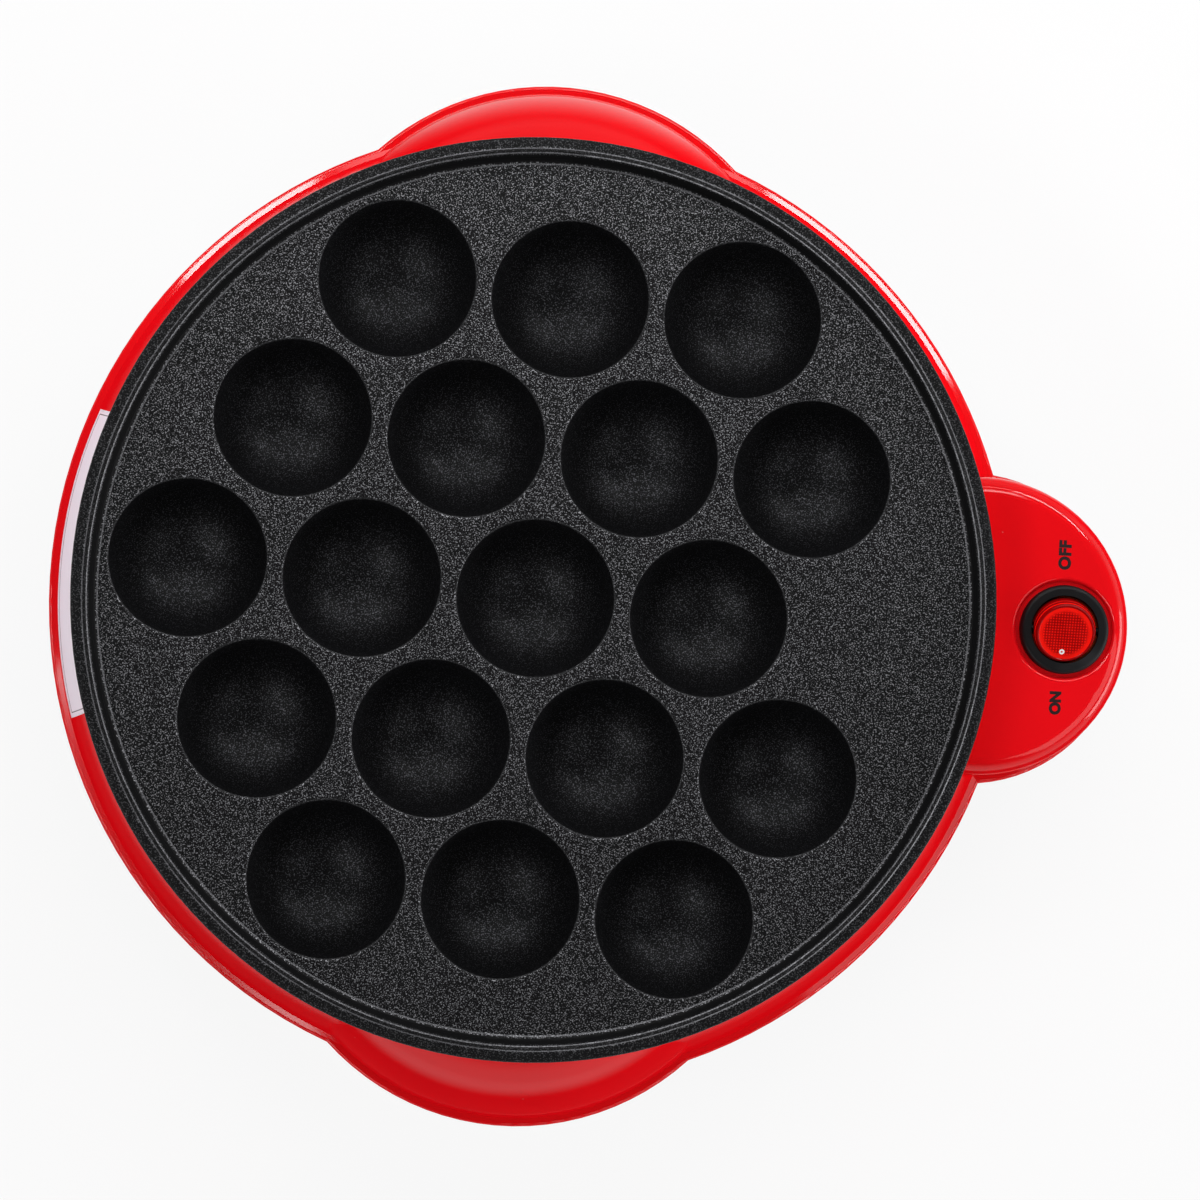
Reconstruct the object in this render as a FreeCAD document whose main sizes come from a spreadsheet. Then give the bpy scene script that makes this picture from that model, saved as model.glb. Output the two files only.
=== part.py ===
import FreeCAD, Part
import math
import os
import Sketcher

# Takoyaki maker: a round countertop cooker with a lift-off plate of eighteen hemispherical cups over
# a ring heater, in a two-part moulded housing with two ear handles and a switch pod.
# Frame: +Z up, +X towards the switch pod, origin at the middle of the footprint on the table.
# Every piece is drawn about the upright axis of the round body and moved to that frame at the end.

DOC = FreeCAD.newDocument("TakoyakiMaker")

DIMENSIONS = (
    # round body
    ("wall_spread", 8.7, "how far the upper wall spreads from its rim down to its lip"),
    ("lip_width", 2.2, "how far the lip stands out from the wall"),
    ("lip_height", 2.4, "height of the lip above the parting line"),
    ("lip_fall", 0.5, "how far the top of the lip slopes down from the wall to its level edge"),
    ("lip_edge", 0.9, "width of that level edge"),
    ("parting_height", 40.0, "height of the parting line over the table"),
    ("parting_step", 1.0, "how far the lower housing is set back under the lip"),
    ("shell_wall", 2.6, "wall of both housings"),
    ("tongue_height", 1.2, "height of the tongue of the lower housing inside the lip"),
    ("tongue_gap", 0.3, "gap between that tongue and the lip"),
    ("wall_flare", 90.0, "radius of the hollow curve of the upper wall"),
    # ear handles
    ("ear_stand", 10.4, "how far an ear stands out from the lip of the round body"),
    ("ear_radius", 67.3, "radius of an ear in plan"),
    ("ear_drop", 8.9, "rim of the wall down to the top of an ear"),
    ("ear_slope", 22.0, "how far the rounded top of an ear runs in from its lip"),
    ("ear_crown", 36.0, "radius of the rounded top of an ear"),
    ("ear_depth", 10.0, "depth of the underside of an ear below the parting line"),
    # switch pod
    ("pod_stand", 29.65, "how far the pod stands out from the lip of the round body"),
    ("pod_radius", 41.2, "radius of the pod in plan"),
    ("pod_rise", 27.0, "height of the flat top of the pod above the parting line"),
    ("pod_draft", 0.4, "lean of the pod wall between its lip and its top"),
    ("pod_round", 5.0, "round between the top and the wall of the pod"),
    ("pod_clearance", 1.8, "gap between the cord gland and the underside of the pod"),
    # cooking plate
    ("wall_height", 42.0, "height of the bead of the plate above the parting line"),
    ("cup_margin", 1.8, "flat surface between the outermost cups and the inner wall of the plate"),
    ("flange_thickness", 3.3, "thickness of the plate flange"),
    ("flange_band", 2.9, "flat band of the flange outside the bead"),
    ("flange_round", 1.0, "round of the outer edge of the flange"),
    ("bead_width", 1.4, "width of the raised bead"),
    ("bead_rise", 0.5, "height of the raised bead"),
    ("rim_draft", 1.0, "lean of the inner wall of the plate"),
    ("foot_round", 1.5, "fillet between the inner wall and the cooking surface"),
    ("flat_depth", 4.0, "bead to cooking surface"),
    ("plate_thickness", 3.0, "thickness of the cooking surface"),
    ("plate_turn", 3.5, "turn of the cup pattern against the pod, clockwise from above"),
    ("seat_width", 3.7, "part of the flange that overlaps the housing"),
    ("seat_gap", 0.3, "gap under the flange"),
    ("skirt_wall", 2.2, "wall of the locating skirt"),
    ("skirt_depth", 5.0, "depth of the locating skirt under the cooking surface"),
    ("mouth_clearance", 0.4, "gap between the skirt and the mouth of the housing"),
    # cups
    ("cup_radius", 20.0, "inner radius of a cup"),
    ("cup_land", 4.3, "flat land between neighbouring cups"),
    ("cup_wall", 3.0, "wall of a cup"),
    ("cup_edge", 0.8, "round of the mouth of a cup"),
    # heater
    ("heater_tube", 3.25, "radius of the heater tube"),
    ("heater_drop", 5.1, "underside of the cups to the middle of the tube"),
    ("heater_bend", 8.0, "bend where the ring turns out to its terminals"),
    ("heater_spread", 12.0, "half the distance between the two terminal legs"),
    ("leg_reach", 8.0, "how far the heater legs reach past the floor of the pan"),
    ("contact_gap", 0.3, "gap between the tube and what holds or meets it"),
    ("rib_wall", 0.95, "wall of the heat rib on each side of the tube"),
    # reflector pan
    ("pan_sheet", 1.0, "sheet of the reflector pan"),
    ("pan_slope", 7.0, "how far the wall of the pan leans out"),
    ("pan_rim", 12.5, "width of the rim of the pan"),
    ("pan_inset", 4.0, "gap between the rim of the pan and the mouth of the housing, in plan"),
    ("pan_clearance", 1.5, "gap between the cups and the rim of the pan"),
    ("pan_drop", 13.0, "underside of the cups to the floor of the pan"),
    # screw posts
    ("post_inset", 8.5, "mouth of the housing to the middle of a screw post"),
    ("post_radius", 3.8, "radius of a post of the upper housing"),
    ("boss_radius", 4.8, "radius of a boss of the lower housing"),
    ("head_well", 3.5, "radius of the well for a housing screw head"),
    ("well_depth", 22.0, "depth of that well over the base"),
    ("screw_radius", 1.7, "radius of a housing screw"),
    ("screw_gap", 0.1, "gap round a screw"),
    ("small_screw", 1.3, "radius of a small screw"),
    ("small_bite", 5.0, "length of a small screw below its head"),
    ("post_angle", 45.0, "angle of the first post from the pod"),
    # lower housing and feet
    ("foot_height", 4.0, "height of the base over the table"),
    ("base_inset", 21.0, "how far the flat base stands in from the lip"),
    ("base_round", 7.0, "round between the base and the lower wall"),
    ("lower_belly", 120.0, "radius of the full curve of the lower wall"),
    ("edge_band", 3.0, "upright band at the top edge of the lower housing"),
    ("ear_round", 7.0, "round of the underside of an ear"),
    ("tub_round", 8.0, "round of the underside of the pod"),
    ("foot_inset", 17.0, "middle of a screw boss to the middle of the foot beside it"),
    ("foot_radius", 8.0, "radius of a foot"),
    ("foot_stem", 3.0, "radius of the stem of a foot"),
    ("vent_width", 3.0, "width of a vent slot"),
    ("vent_inner", 40.0, "body axis to the inner end of a vent slot"),
    ("vent_outer", 64.0, "body axis to the outer end of a vent slot"),
    # switch
    ("switch_offset", 21.45, "middle of the pod curve to the middle of the switch"),
    ("switch_hole", 10.0, "radius of the panel hole of the switch"),
    ("recess_gap", 1.1, "gap between the bezel and the recess round it"),
    ("recess_depth", 1.2, "depth of that recess"),
    ("recess_round", 1.0, "round of its upper edge"),
    ("bezel_lip", 1.5, "how far the bezel overlaps the edge of the panel hole"),
    ("bezel_height", 2.4, "height of the bezel over the recess"),
    ("barrel_wall", 1.25, "wall of the switch barrel"),
    ("barrel_depth", 17.0, "depth of the switch below the panel"),
    ("barrel_floor", 2.0, "floor of the switch barrel"),
    ("rocker_gap", 0.55, "gap between the rocker and the barrel"),
    ("rocker_angle", 18.0, "half the swing of the rocker, and the tilt of its face at rest"),
    ("rocker_face", 3.5, "pivot to the face of the rocker"),
    ("pivot_drop", 2.0, "depth of the rocker pivot below the top of the bezel"),
    ("pin_radius", 1.0, "radius of a rocker pin"),
    ("pin_gap", 0.08, "gap round a rocker pin"),
    # cord inlet
    ("gland_inset", 5.5, "how far the face of the cord inlet stands in from the lip"),
    ("gland_rise", 0.2, "gap between the base and the seat of the cord gland, in height"),
    ("gland_seat", 9.3, "radius of the flat seat of the cord gland"),
    ("gland_hole", 5.0, "radius of the hole for the cord gland"),
    ("gland_bore", 3.4, "radius of the bore for a cord"),
    ("gland_gap", 0.1, "gap between the gland and its hole"),
    ("gland_flange", 3.0, "thickness of each flange of the gland"),
    ("clamp_inset", 26.5, "face of the cord inlet to the middle of the cord clamp"),
    ("clamp_spread", 9.0, "half the distance between the clamp screws"),
    ("clamp_boss", 3.4, "radius of a boss under the cord clamp"),
    ("clamp_squeeze", 0.7, "how far the clamp bar presses into the cord"),
    ("clamp_bar", 3.0, "thickness of the clamp bar"),
    ("block_inset", 51.5, "face of the cord inlet to the inner face of the terminal block"),
    ("block_depth", 14.0, "size of the terminal block along the wires"),
    ("block_width", 26.0, "size of the terminal block across the wires"),
    ("block_height", 12.0, "height of the terminal block"),
    ("wire_hole", 2.0, "radius of a wire hole of the terminal block"),
    # pieces on the pan
    ("cradle_wall", 1.0, "sheet of a heater cradle"),
    ("cradle_width", 7.0, "width of a heater cradle along the tube"),
    ("cradle_screw", 9.5, "distance of a cradle screw from the tube"),
    ("foot_edge", 3.5, "sheet left beyond the middle of a screw"),
    ("bracket_sheet", 1.0, "sheet of the thermostat bracket"),
    ("bracket_width", 12.0, "width of the thermostat bracket"),
    ("bracket_top", 9.5, "half the length of the raised part of the bracket"),
    ("bracket_step", 6.5, "end of that raised part to the middle of a bracket screw"),
    ("bracket_height", 4.0, "height of the bracket over the pan"),
    ("thermostat_radius", 7.6, "radius of the cap of the thermostat"),
    ("fuse_place", 32.0, "body axis to the thermal fuse"),
    ("fuse_radius", 2.0, "radius of the thermal fuse"),
    ("fuse_length", 12.0, "length of the thermal fuse"),
    ("strap_sheet", 0.8, "sheet of the fuse strap"),
    ("strap_width", 6.0, "width of the fuse strap"),
    ("strap_screw", 6.4, "distance of a strap screw from the fuse"),
    ("screw_head", 2.5, "radius of a small screw head"),
    ("head_height", 1.8, "height of a small screw head"),
    ("bush_radius", 4.6, "radius of a ceramic bush on the heater"),
    ("bush_length", 6.0, "length of a ceramic bush"),
    ("terminal_pin", 1.2, "radius of a heater terminal pin"),
    ("terminal_length", 14.0, "length of a heater terminal pin"),
    ("blade_width", 6.3, "width of a terminal blade"),
    ("blade_thickness", 0.8, "thickness of a terminal blade"),
    ("blade_length", 9.0, "length of a switch terminal blade"),
    ("blade_pitch", 5.5, "distance between switch terminal blades"),
    ("lamp_radius", 1.6, "radius of the neon lamp"),
    ("lamp_length", 10.0, "length of the neon lamp"),
)


class Size:
    """A length in millimetres together with the spreadsheet formula that gives it."""

    def __init__(self, value, formula):
        self.value = value
        self.formula = formula

    def __add__(self, other):
        other = as_size(other)
        return Size(self.value + other.value, f"({self.formula} + {other.formula})")

    def __sub__(self, other):
        other = as_size(other)
        return Size(self.value - other.value, f"({self.formula} - {other.formula})")

    def __mul__(self, other):
        other = as_size(other)
        return Size(self.value * other.value, f"({self.formula} * {other.formula})")

    def __truediv__(self, other):
        other = as_size(other)
        return Size(self.value / other.value, f"({self.formula} / {other.formula})")

    def __neg__(self):
        return Size(-self.value, f"(0 - {self.formula})")

    def __radd__(self, other):
        return as_size(other) + self

    def __rsub__(self, other):
        return as_size(other) - self

    def __rmul__(self, other):
        return as_size(other) * self


def as_size(number):
    """Take a plain number as a size; a size stays as it is."""
    if isinstance(number, Size):
        return number
    return Size(float(number), f"({float(number)})")


def root(size):
    """Square root of a size."""
    return Size(math.sqrt(size.value), f"sqrt({size.formula})")


def cosine(degrees):
    """Cosine of an angle in degrees."""
    return Size(math.cos(math.radians(degrees.value)), f"cos({degrees.formula})")


def sine(degrees):
    """Sine of an angle in degrees."""
    return Size(math.sin(math.radians(degrees.value)), f"sin({degrees.formula})")


def clean(size):
    """A size that is zero but for rounding becomes a plain zero."""
    return 0 if abs(size.value) < 1e-9 else size


def half_chord(radius, height):
    """Half the width of a circle at a height from its centre."""
    return root(radius * radius - height * height)


def make_sheet():
    """Fill the spreadsheet and return each driving dimension as a size, by its alias."""
    sheet = DOC.addObject("Spreadsheet::Sheet", "Sizes")
    sizes = {}
    for row, (alias, value, note) in enumerate(DIMENSIONS, start=1):
        sheet.set(f"A{row}", alias)
        sheet.set(f"B{row}", str(value))
        sheet.set(f"C{row}", note)
        sheet.setAlias(f"B{row}", alias)
        sizes[alias] = Size(float(value), f"Sizes.{alias}")
    DOC.recompute()
    return sizes


D = make_sheet()

# Plan sizes that several pieces share, from the cups outwards.
CUP_PITCH = D["cup_radius"] * 2 + D["cup_land"]
WALL_INNER = CUP_PITCH * 2 + D["cup_radius"] + D["cup_margin"] + D["foot_round"] + D["rim_draft"]
PLATE_RADIUS = WALL_INNER + D["bead_width"] + D["flange_band"]
MOUTH_RADIUS = PLATE_RADIUS - D["seat_width"]
RIM_RADIUS = MOUTH_RADIUS + D["shell_wall"]
SKIRT_OUT = MOUTH_RADIUS - D["mouth_clearance"]
WALL_FOOT = RIM_RADIUS + D["wall_spread"]
LIP_RADIUS = WALL_FOOT + D["lip_width"]
EDGE_RADIUS = LIP_RADIUS - D["parting_step"]
BASE_RADIUS = LIP_RADIUS - D["base_inset"]
EAR_CENTRE = LIP_RADIUS + D["ear_stand"] - D["ear_radius"]
EAR_WALL = D["ear_radius"] - D["lip_width"]
POD_CENTRE = LIP_RADIUS + D["pod_stand"] - D["pod_radius"]
POD_WALL = D["pod_radius"] - D["lip_width"]
AXIS_SHIFT = D["pod_stand"] / 2
POST_CIRCLE = MOUTH_RADIUS - D["post_inset"]
FOOT_CIRCLE = POST_CIRCLE - D["foot_inset"]
PAN_RIM_RADIUS = MOUTH_RADIUS - D["pan_inset"]
PAN_LIP_RADIUS = PAN_RIM_RADIUS - D["pan_rim"]
PAN_FLOOR_RADIUS = PAN_LIP_RADIUS - D["pan_slope"]
HEATER_RADIUS = CUP_PITCH * 1.4
HEATER_LEG = PAN_FLOOR_RADIUS + D["leg_reach"]
SWITCH_REACH = POD_CENTRE + D["switch_offset"]
BEZEL_RADIUS = D["switch_hole"] + D["bezel_lip"]
RECESS_RADIUS = BEZEL_RADIUS + D["recess_gap"]
BEZEL_OPENING = D["switch_hole"] - D["barrel_wall"]
ROCKER_RADIUS = BEZEL_OPENING - D["rocker_gap"]
GLAND_FACE = LIP_RADIUS - D["gland_inset"]
CLAMP_REACH = GLAND_FACE - D["clamp_inset"]
BLOCK_NEAR = GLAND_FACE - D["block_inset"]

# Heights that several pieces share, from the table up to the plate and down into the pan.
BASE_TOP = D["foot_height"] + D["shell_wall"]
WELL_TOP = D["foot_height"] + D["well_depth"]
GLAND_HEIGHT = D["foot_height"] + D["gland_rise"] + D["gland_seat"]
GLAND_LIP = D["gland_seat"] - D["shell_wall"]
CLAMP_HEIGHT = GLAND_HEIGHT + D["gland_bore"] - D["clamp_squeeze"]
POD_FLOOR = GLAND_HEIGHT + GLAND_LIP + D["pod_clearance"]
EAR_FLOOR = D["parting_height"] - D["ear_depth"]
LIP_TOP = D["parting_height"] + D["lip_height"]
LIP_EDGE = LIP_TOP - D["lip_fall"]
PLATE_HEIGHT = D["parting_height"] + D["wall_height"]
FLANGE_TOP = PLATE_HEIGHT - D["bead_rise"]
FLANGE_UNDER = FLANGE_TOP - D["flange_thickness"]
RIM_TOP = FLANGE_UNDER - D["seat_gap"]
EAR_TOP = RIM_TOP - D["ear_drop"]
COOK_TOP = PLATE_HEIGHT - D["flat_depth"]
COOK_UNDER = COOK_TOP - D["plate_thickness"]
SKIRT_BOTTOM = COOK_UNDER - D["skirt_depth"]
CUP_BOTTOM = COOK_TOP - D["cup_radius"] - D["cup_wall"]
HEATER_HEIGHT = CUP_BOTTOM - D["heater_drop"]
PAN_FLOOR = CUP_BOTTOM - D["pan_drop"]
PAN_RIM_HEIGHT = CUP_BOTTOM - D["pan_clearance"] - D["pan_sheet"]
POST_HEIGHT = PAN_RIM_HEIGHT - D["parting_height"]
POD_TOP = D["parting_height"] + D["pod_rise"]
RECESS_FLOOR = POD_TOP - D["recess_depth"]
BEZEL_TOP = RECESS_FLOOR + D["bezel_height"]
PIVOT_HEIGHT = BEZEL_TOP - D["pivot_drop"]
BARREL_BOTTOM = RECESS_FLOOR - D["barrel_depth"]


def new_body(label, many=False):
    """Start a sub-part; its label names its file. One with many solids holds a set of fasteners."""
    body = DOC.addObject("PartDesign::Body", label)
    body.Label = label
    body.AllowCompound = many
    body.setExpression("Placement.Base.x", (-AXIS_SHIFT).formula)
    return body


def origin_feature(body, role):
    """One of the origin planes or axes of a body."""
    return next(item for item in body.Origin.OriginFeatures if item.Role == role)


def new_sketch(body, name, plane, x=0, y=0, z=0, turn=None):
    """A sketch on an origin plane of the body, moved by x, y and z along the sketch's own axes.

    With a turn, the sketch is swung about the upright axis of the body by that angle.
    """
    sketch = body.newObject("Sketcher::SketchObject", name)
    sketch.AttachmentSupport = [(origin_feature(body, plane), "")]
    sketch.MapMode = "FlatFace"
    if turn is not None:
        upright = FreeCAD.Vector(0, 0, 1) if plane == "XY_Plane" else FreeCAD.Vector(0, 1, 0)
        sketch.AttachmentOffset = FreeCAD.Placement(FreeCAD.Vector(), FreeCAD.Rotation(upright, turn.value))
        sketch.setExpression("AttachmentOffset.Rotation.Angle", turn.formula)
    for axis, offset in (("x", x), ("y", y), ("z", z)):
        offset = as_size(offset)
        if offset.value:
            sketch.setExpression(f"AttachmentOffset.Base.{axis}", offset.formula)
    return sketch


def pin_point(sketch, piece, vertex, x, y):
    """Tie a point of a sketch to its place: on an axis for zero, else at a distance from it."""
    for coordinate, axis, kind in ((x, -2, "DistanceX"), (y, -1, "DistanceY")):
        coordinate = as_size(coordinate)
        if coordinate.value == 0:
            sketch.addConstraint(Sketcher.Constraint("PointOnObject", piece, vertex, axis))
            continue
        index = sketch.addConstraint(Sketcher.Constraint(kind, -1, 1, piece, vertex, coordinate.value))
        sketch.setExpression(f"Constraints[{index}]", coordinate.formula)


def set_radius(sketch, piece, radius):
    """Tie the radius of an arc or circle."""
    index = sketch.addConstraint(Sketcher.Constraint("Radius", piece, radius.value))
    sketch.setExpression(f"Constraints[{index}]", radius.formula)


def arc_between(start, end, bend):
    """An arc from start to end: a positive bend turns left on the way, a negative one turns right."""
    chord = end - start
    middle = (start + end) * 0.5
    left = FreeCAD.Vector(-chord.y, chord.x, 0).normalize()
    rise = math.sqrt(max(bend * bend - chord.Length ** 2 / 4, 0))
    centre = middle + left * math.copysign(rise, bend)
    first, last = (start, end) if bend > 0 else (end, start)
    circle = Part.Circle(centre, FreeCAD.Vector(0, 0, 1), abs(bend))
    return Part.ArcOfCircle(circle, circle.parameter(first), circle.parameter(last))


def draw_outline(sketch, corners):
    """Draw a closed outline. A corner is (x, y), or (x, y, bend) where an arc leads on from it."""
    points = [FreeCAD.Vector(as_size(c[0]).value, as_size(c[1]).value, 0) for c in corners]
    ends = []
    for number, corner in enumerate(corners):
        start = points[number]
        end = points[(number + 1) % len(points)]
        if len(corner) == 3:
            bend = as_size(corner[2])
            piece = sketch.addGeometry(arc_between(start, end, bend.value), False)
            set_radius(sketch, piece, bend if bend.value > 0 else -bend)
            ends.append((piece, 1, 2) if bend.value > 0 else (piece, 2, 1))
        else:
            piece = sketch.addGeometry(Part.LineSegment(start, end), False)
            ends.append((piece, 1, 2))
    for number, (piece, start_vertex, end_vertex) in enumerate(ends):
        following = ends[(number + 1) % len(ends)]
        sketch.addConstraint(Sketcher.Constraint("Coincident", piece, end_vertex, following[0], following[1]))
        pin_point(sketch, piece, start_vertex, corners[number][0], corners[number][1])


def draw_circle(sketch, x, y, radius):
    """Draw a full circle with its centre at x, y."""
    centre = FreeCAD.Vector(as_size(x).value, as_size(y).value, 0)
    radius = as_size(radius)
    piece = sketch.addGeometry(Part.Circle(centre, FreeCAD.Vector(0, 0, 1), radius.value), False)
    set_radius(sketch, piece, radius)
    pin_point(sketch, piece, 3, x, y)


def draw_box(sketch, x_low, x_high, y_low, y_high):
    """Draw a rectangle between two corners."""
    draw_outline(sketch, ((x_low, y_low), (x_high, y_low), (x_high, y_high), (x_low, y_high)))


def turned_level(body, kind, name, corners, across=0, height=0):
    """A Revolution or Groove about a level axis along X. An outline corner is (x, radius)."""
    sketch = new_sketch(body, f"{name}_profile", "XZ_Plane", y=height, z=-as_size(across))
    draw_outline(sketch, corners)
    feature = body.newObject(f"PartDesign::{kind}", name)
    feature.Profile = sketch
    feature.ReferenceAxis = (sketch, ["H_Axis"])
    feature.Angle = 360
    return feature


def turned(body, kind, name, corners, x=0, across=0, turn=None):
    """A Revolution or Groove of a radius and height outline about an upright axis at x, across."""
    sketch = new_sketch(body, f"{name}_profile", "XZ_Plane", x=x, z=-as_size(across), turn=turn)
    draw_outline(sketch, corners)
    feature = body.newObject(f"PartDesign::{kind}", name)
    feature.Profile = sketch
    feature.ReferenceAxis = (sketch, ["V_Axis"])
    feature.Angle = 360
    return feature


def extruded(body, kind, name, sketch, length=None, reverse=False, both_ways=False):
    """A Pad or Pocket of a sketch. A Pocket with no length goes all the way through."""
    feature = body.newObject(f"PartDesign::{kind}", name)
    feature.Profile = sketch
    feature.Reversed = reverse
    feature.Midplane = both_ways
    if length is None:
        feature.Type = "ThroughAll"
    else:
        feature.setExpression("Length", as_size(length).formula)
    return feature


def repeat_round(body, feature, name, count, angle=360):
    """Repeat a feature about the upright axis."""
    pattern = body.newObject("PartDesign::PolarPattern", name)
    pattern.Originals = [feature]
    pattern.Axis = (origin_feature(body, "Z_Axis"), [""])
    pattern.Angle = angle
    pattern.Occurrences = count
    body.Tip = pattern
    return pattern


def repeat_mirrored(body, feature, name):
    """Repeat a feature on the other side of the XZ plane."""
    mirror = body.newObject("PartDesign::Mirrored", name)
    mirror.Originals = [feature]
    mirror.MirrorPlane = (origin_feature(body, "XZ_Plane"), [""])
    body.Tip = mirror
    return mirror


# Cooking plate ---------------------------------------------------------------------------------

# The cups stand on a triangular grid: one in the middle, six round it, six in the gaps of the next
# ring and five at its corners. The sixth corner, towards the pod, has no cup.
# Each row is a name, the place of its first cup in pitches, how many there are and the turn they span.
CUP_RINGS = (
    ("middle", 0, 0, 1, 0),
    ("inner", 1, 0, 6, 360),
    ("gap", 1.5, math.sqrt(3) / 2, 6, 360),
    ("corner", 1, math.sqrt(3), 5, 240),
)


def plate_rim_outline():
    """Section of the round plate: cooking surface, inner wall, bead, flange and locating skirt."""
    bead_out = PLATE_RADIUS - D["flange_band"]
    wall_foot = WALL_INNER - D["rim_draft"]
    half_bead = D["bead_width"] / 2
    bead_round = (half_bead * half_bead + D["bead_rise"] * D["bead_rise"]) / (2 * D["bead_rise"])
    flange_round = D["flange_round"]
    skirt_in = SKIRT_OUT - D["skirt_wall"]
    return (
        (0, COOK_UNDER),
        (skirt_in, COOK_UNDER),
        (skirt_in, SKIRT_BOTTOM),
        (SKIRT_OUT, SKIRT_BOTTOM),
        (SKIRT_OUT, FLANGE_UNDER),
        (PLATE_RADIUS - flange_round, FLANGE_UNDER, flange_round),
        (PLATE_RADIUS, FLANGE_UNDER + flange_round),
        (PLATE_RADIUS, FLANGE_TOP - flange_round, flange_round),
        (PLATE_RADIUS - flange_round, FLANGE_TOP),
        (bead_out, FLANGE_TOP, bead_round),
        (WALL_INNER, FLANGE_TOP),
        (wall_foot, COOK_TOP + D["foot_round"], -D["foot_round"]),
        (wall_foot - D["foot_round"], COOK_TOP),
        (0, COOK_TOP),
    )


def heat_rib_outline():
    """Section of the rib that sits over the heater tube, with a round channel in its underside."""
    channel = D["heater_tube"] + D["contact_gap"]
    half_width = channel + D["rib_wall"]
    rib_bottom = HEATER_HEIGHT + D["contact_gap"]
    opening = half_chord(channel, D["contact_gap"])
    return (
        (HEATER_RADIUS - half_width, rib_bottom),
        (HEATER_RADIUS - opening, rib_bottom, -channel),
        (HEATER_RADIUS + opening, rib_bottom),
        (HEATER_RADIUS + half_width, rib_bottom),
        (HEATER_RADIUS + half_width, COOK_UNDER + D["plate_thickness"] / 2),
        (HEATER_RADIUS - half_width, COOK_UNDER + D["plate_thickness"] / 2),
    )


def cup_shell_outline():
    """Half section of the outside of a cup, from inside the plate down to its round bottom."""
    outer = D["cup_radius"] + D["cup_wall"]
    depth = D["plate_thickness"] / 2
    return (
        (0, CUP_BOTTOM, outer),
        (half_chord(outer, depth), COOK_TOP - depth),
        (0, COOK_TOP - depth),
    )


def cup_hollow_outline():
    """Half section of the inside of a cup, with a rounded mouth."""
    edge = D["cup_edge"]
    above = COOK_TOP + 1
    return (
        (0, COOK_TOP - D["cup_radius"], D["cup_radius"]),
        (half_chord(D["cup_radius"], edge), COOK_TOP - edge, -edge),
        (D["cup_radius"] + edge, COOK_TOP),
        (D["cup_radius"] + edge, above),
        (0, above),
    )


def add_cups(body, kind, name, outline):
    """Add or cut the eighteen cups."""
    for ring, along, across, count, angle in CUP_RINGS:
        label = f"{name}_{ring}"
        cup = turned(body, kind, label, outline(), x=CUP_PITCH * along, across=CUP_PITCH * across)
        if count > 1:
            repeat_round(body, cup, f"{label}_ring", count, angle)


def cut_leg_notch(body):
    """Open the heat rib where the two ends of the heater turn out through it."""
    notch = new_sketch(body, "leg_notch_place", "XY_Plane", z=HEATER_HEIGHT)
    half_width = D["heater_spread"] + D["heater_bend"] + D["heater_tube"] + D["contact_gap"] * 2
    draw_box(notch, HEATER_RADIUS * 0.75, HEATER_RADIUS * 1.15, -half_width, half_width)
    extruded(body, "Pocket", "leg_notch", notch, D["heater_tube"] + D["contact_gap"], reverse=True)


def make_cooking_plate():
    """Die-cast plate with eighteen cups, a heat rib over the heater and a locating skirt."""
    body = new_body("cooking_plate")
    body.setExpression("Placement.Rotation.Angle", (-D["plate_turn"]).formula)
    turned(body, "Revolution", "plate_disc", plate_rim_outline())
    turned(body, "Revolution", "heat_rib", heat_rib_outline())
    add_cups(body, "Revolution", "cup_shell", cup_shell_outline)
    add_cups(body, "Groove", "cup_hollow", cup_hollow_outline)
    cut_leg_notch(body)
    return body


# Upper housing ---------------------------------------------------------------------------------

def lip_corners(radius):
    """The lip that runs round every outline of the upper housing, up to the inner side of its edge."""
    lip_round = D["lip_height"] / 3
    return (
        (0, D["parting_height"]),
        (radius, D["parting_height"]),
        (radius, LIP_EDGE - lip_round, lip_round),
        (radius - lip_round, LIP_EDGE),
        (radius - D["lip_edge"], LIP_EDGE),
    )


def upper_wall_outline():
    """Half section of the outside of the round wall: lip, hollow flare and rim under the plate."""
    rim_round = D["shell_wall"] / 4
    return lip_corners(LIP_RADIUS) + (
        (WALL_FOOT, LIP_TOP, -D["wall_flare"]),
        (RIM_RADIUS, RIM_TOP - rim_round, rim_round),
        (RIM_RADIUS - rim_round, RIM_TOP),
        (0, RIM_TOP),
    )


def upper_wall_radius(height):
    """Radius of the outside of the flared wall at a height, from the circle of its hollow curve."""
    rim = RIM_TOP - D["shell_wall"] / 4
    run = RIM_RADIUS - WALL_FOOT
    rise = rim - LIP_TOP
    chord = root(run * run + rise * rise)
    offset = half_chord(D["wall_flare"], chord / 2) / chord
    centre_radius = (RIM_RADIUS + WALL_FOOT) / 2 + offset * rise
    centre_height = (rim + LIP_TOP) / 2 - offset * run
    return centre_radius - half_chord(D["wall_flare"], height - centre_height)


def lip_rebate_outline(radius):
    """Half section of the rebate inside the lip that takes the tongue of the lower housing."""
    reach = radius - D["parting_step"] - D["shell_wall"] / 2 + D["tongue_gap"]
    return (
        (0, D["parting_height"] - 1),
        (reach, D["parting_height"] - 1),
        (reach, D["parting_height"] + D["tongue_height"] + D["tongue_gap"]),
        (0, D["parting_height"] + D["tongue_height"] + D["tongue_gap"]),
    )


def cut_lip_rebate(body):
    """Cut the rebate all round: under the wall, both ears and the pod."""
    turned(body, "Groove", "round_rebate", lip_rebate_outline(LIP_RADIUS))
    ear = turned(body, "Groove", "ear_rebate", lip_rebate_outline(D["ear_radius"]), across=EAR_CENTRE)
    repeat_mirrored(body, ear, "ear_rebate_pair")
    turned(body, "Groove", "pod_rebate", lip_rebate_outline(D["pod_radius"]), x=POD_CENTRE)


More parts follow.
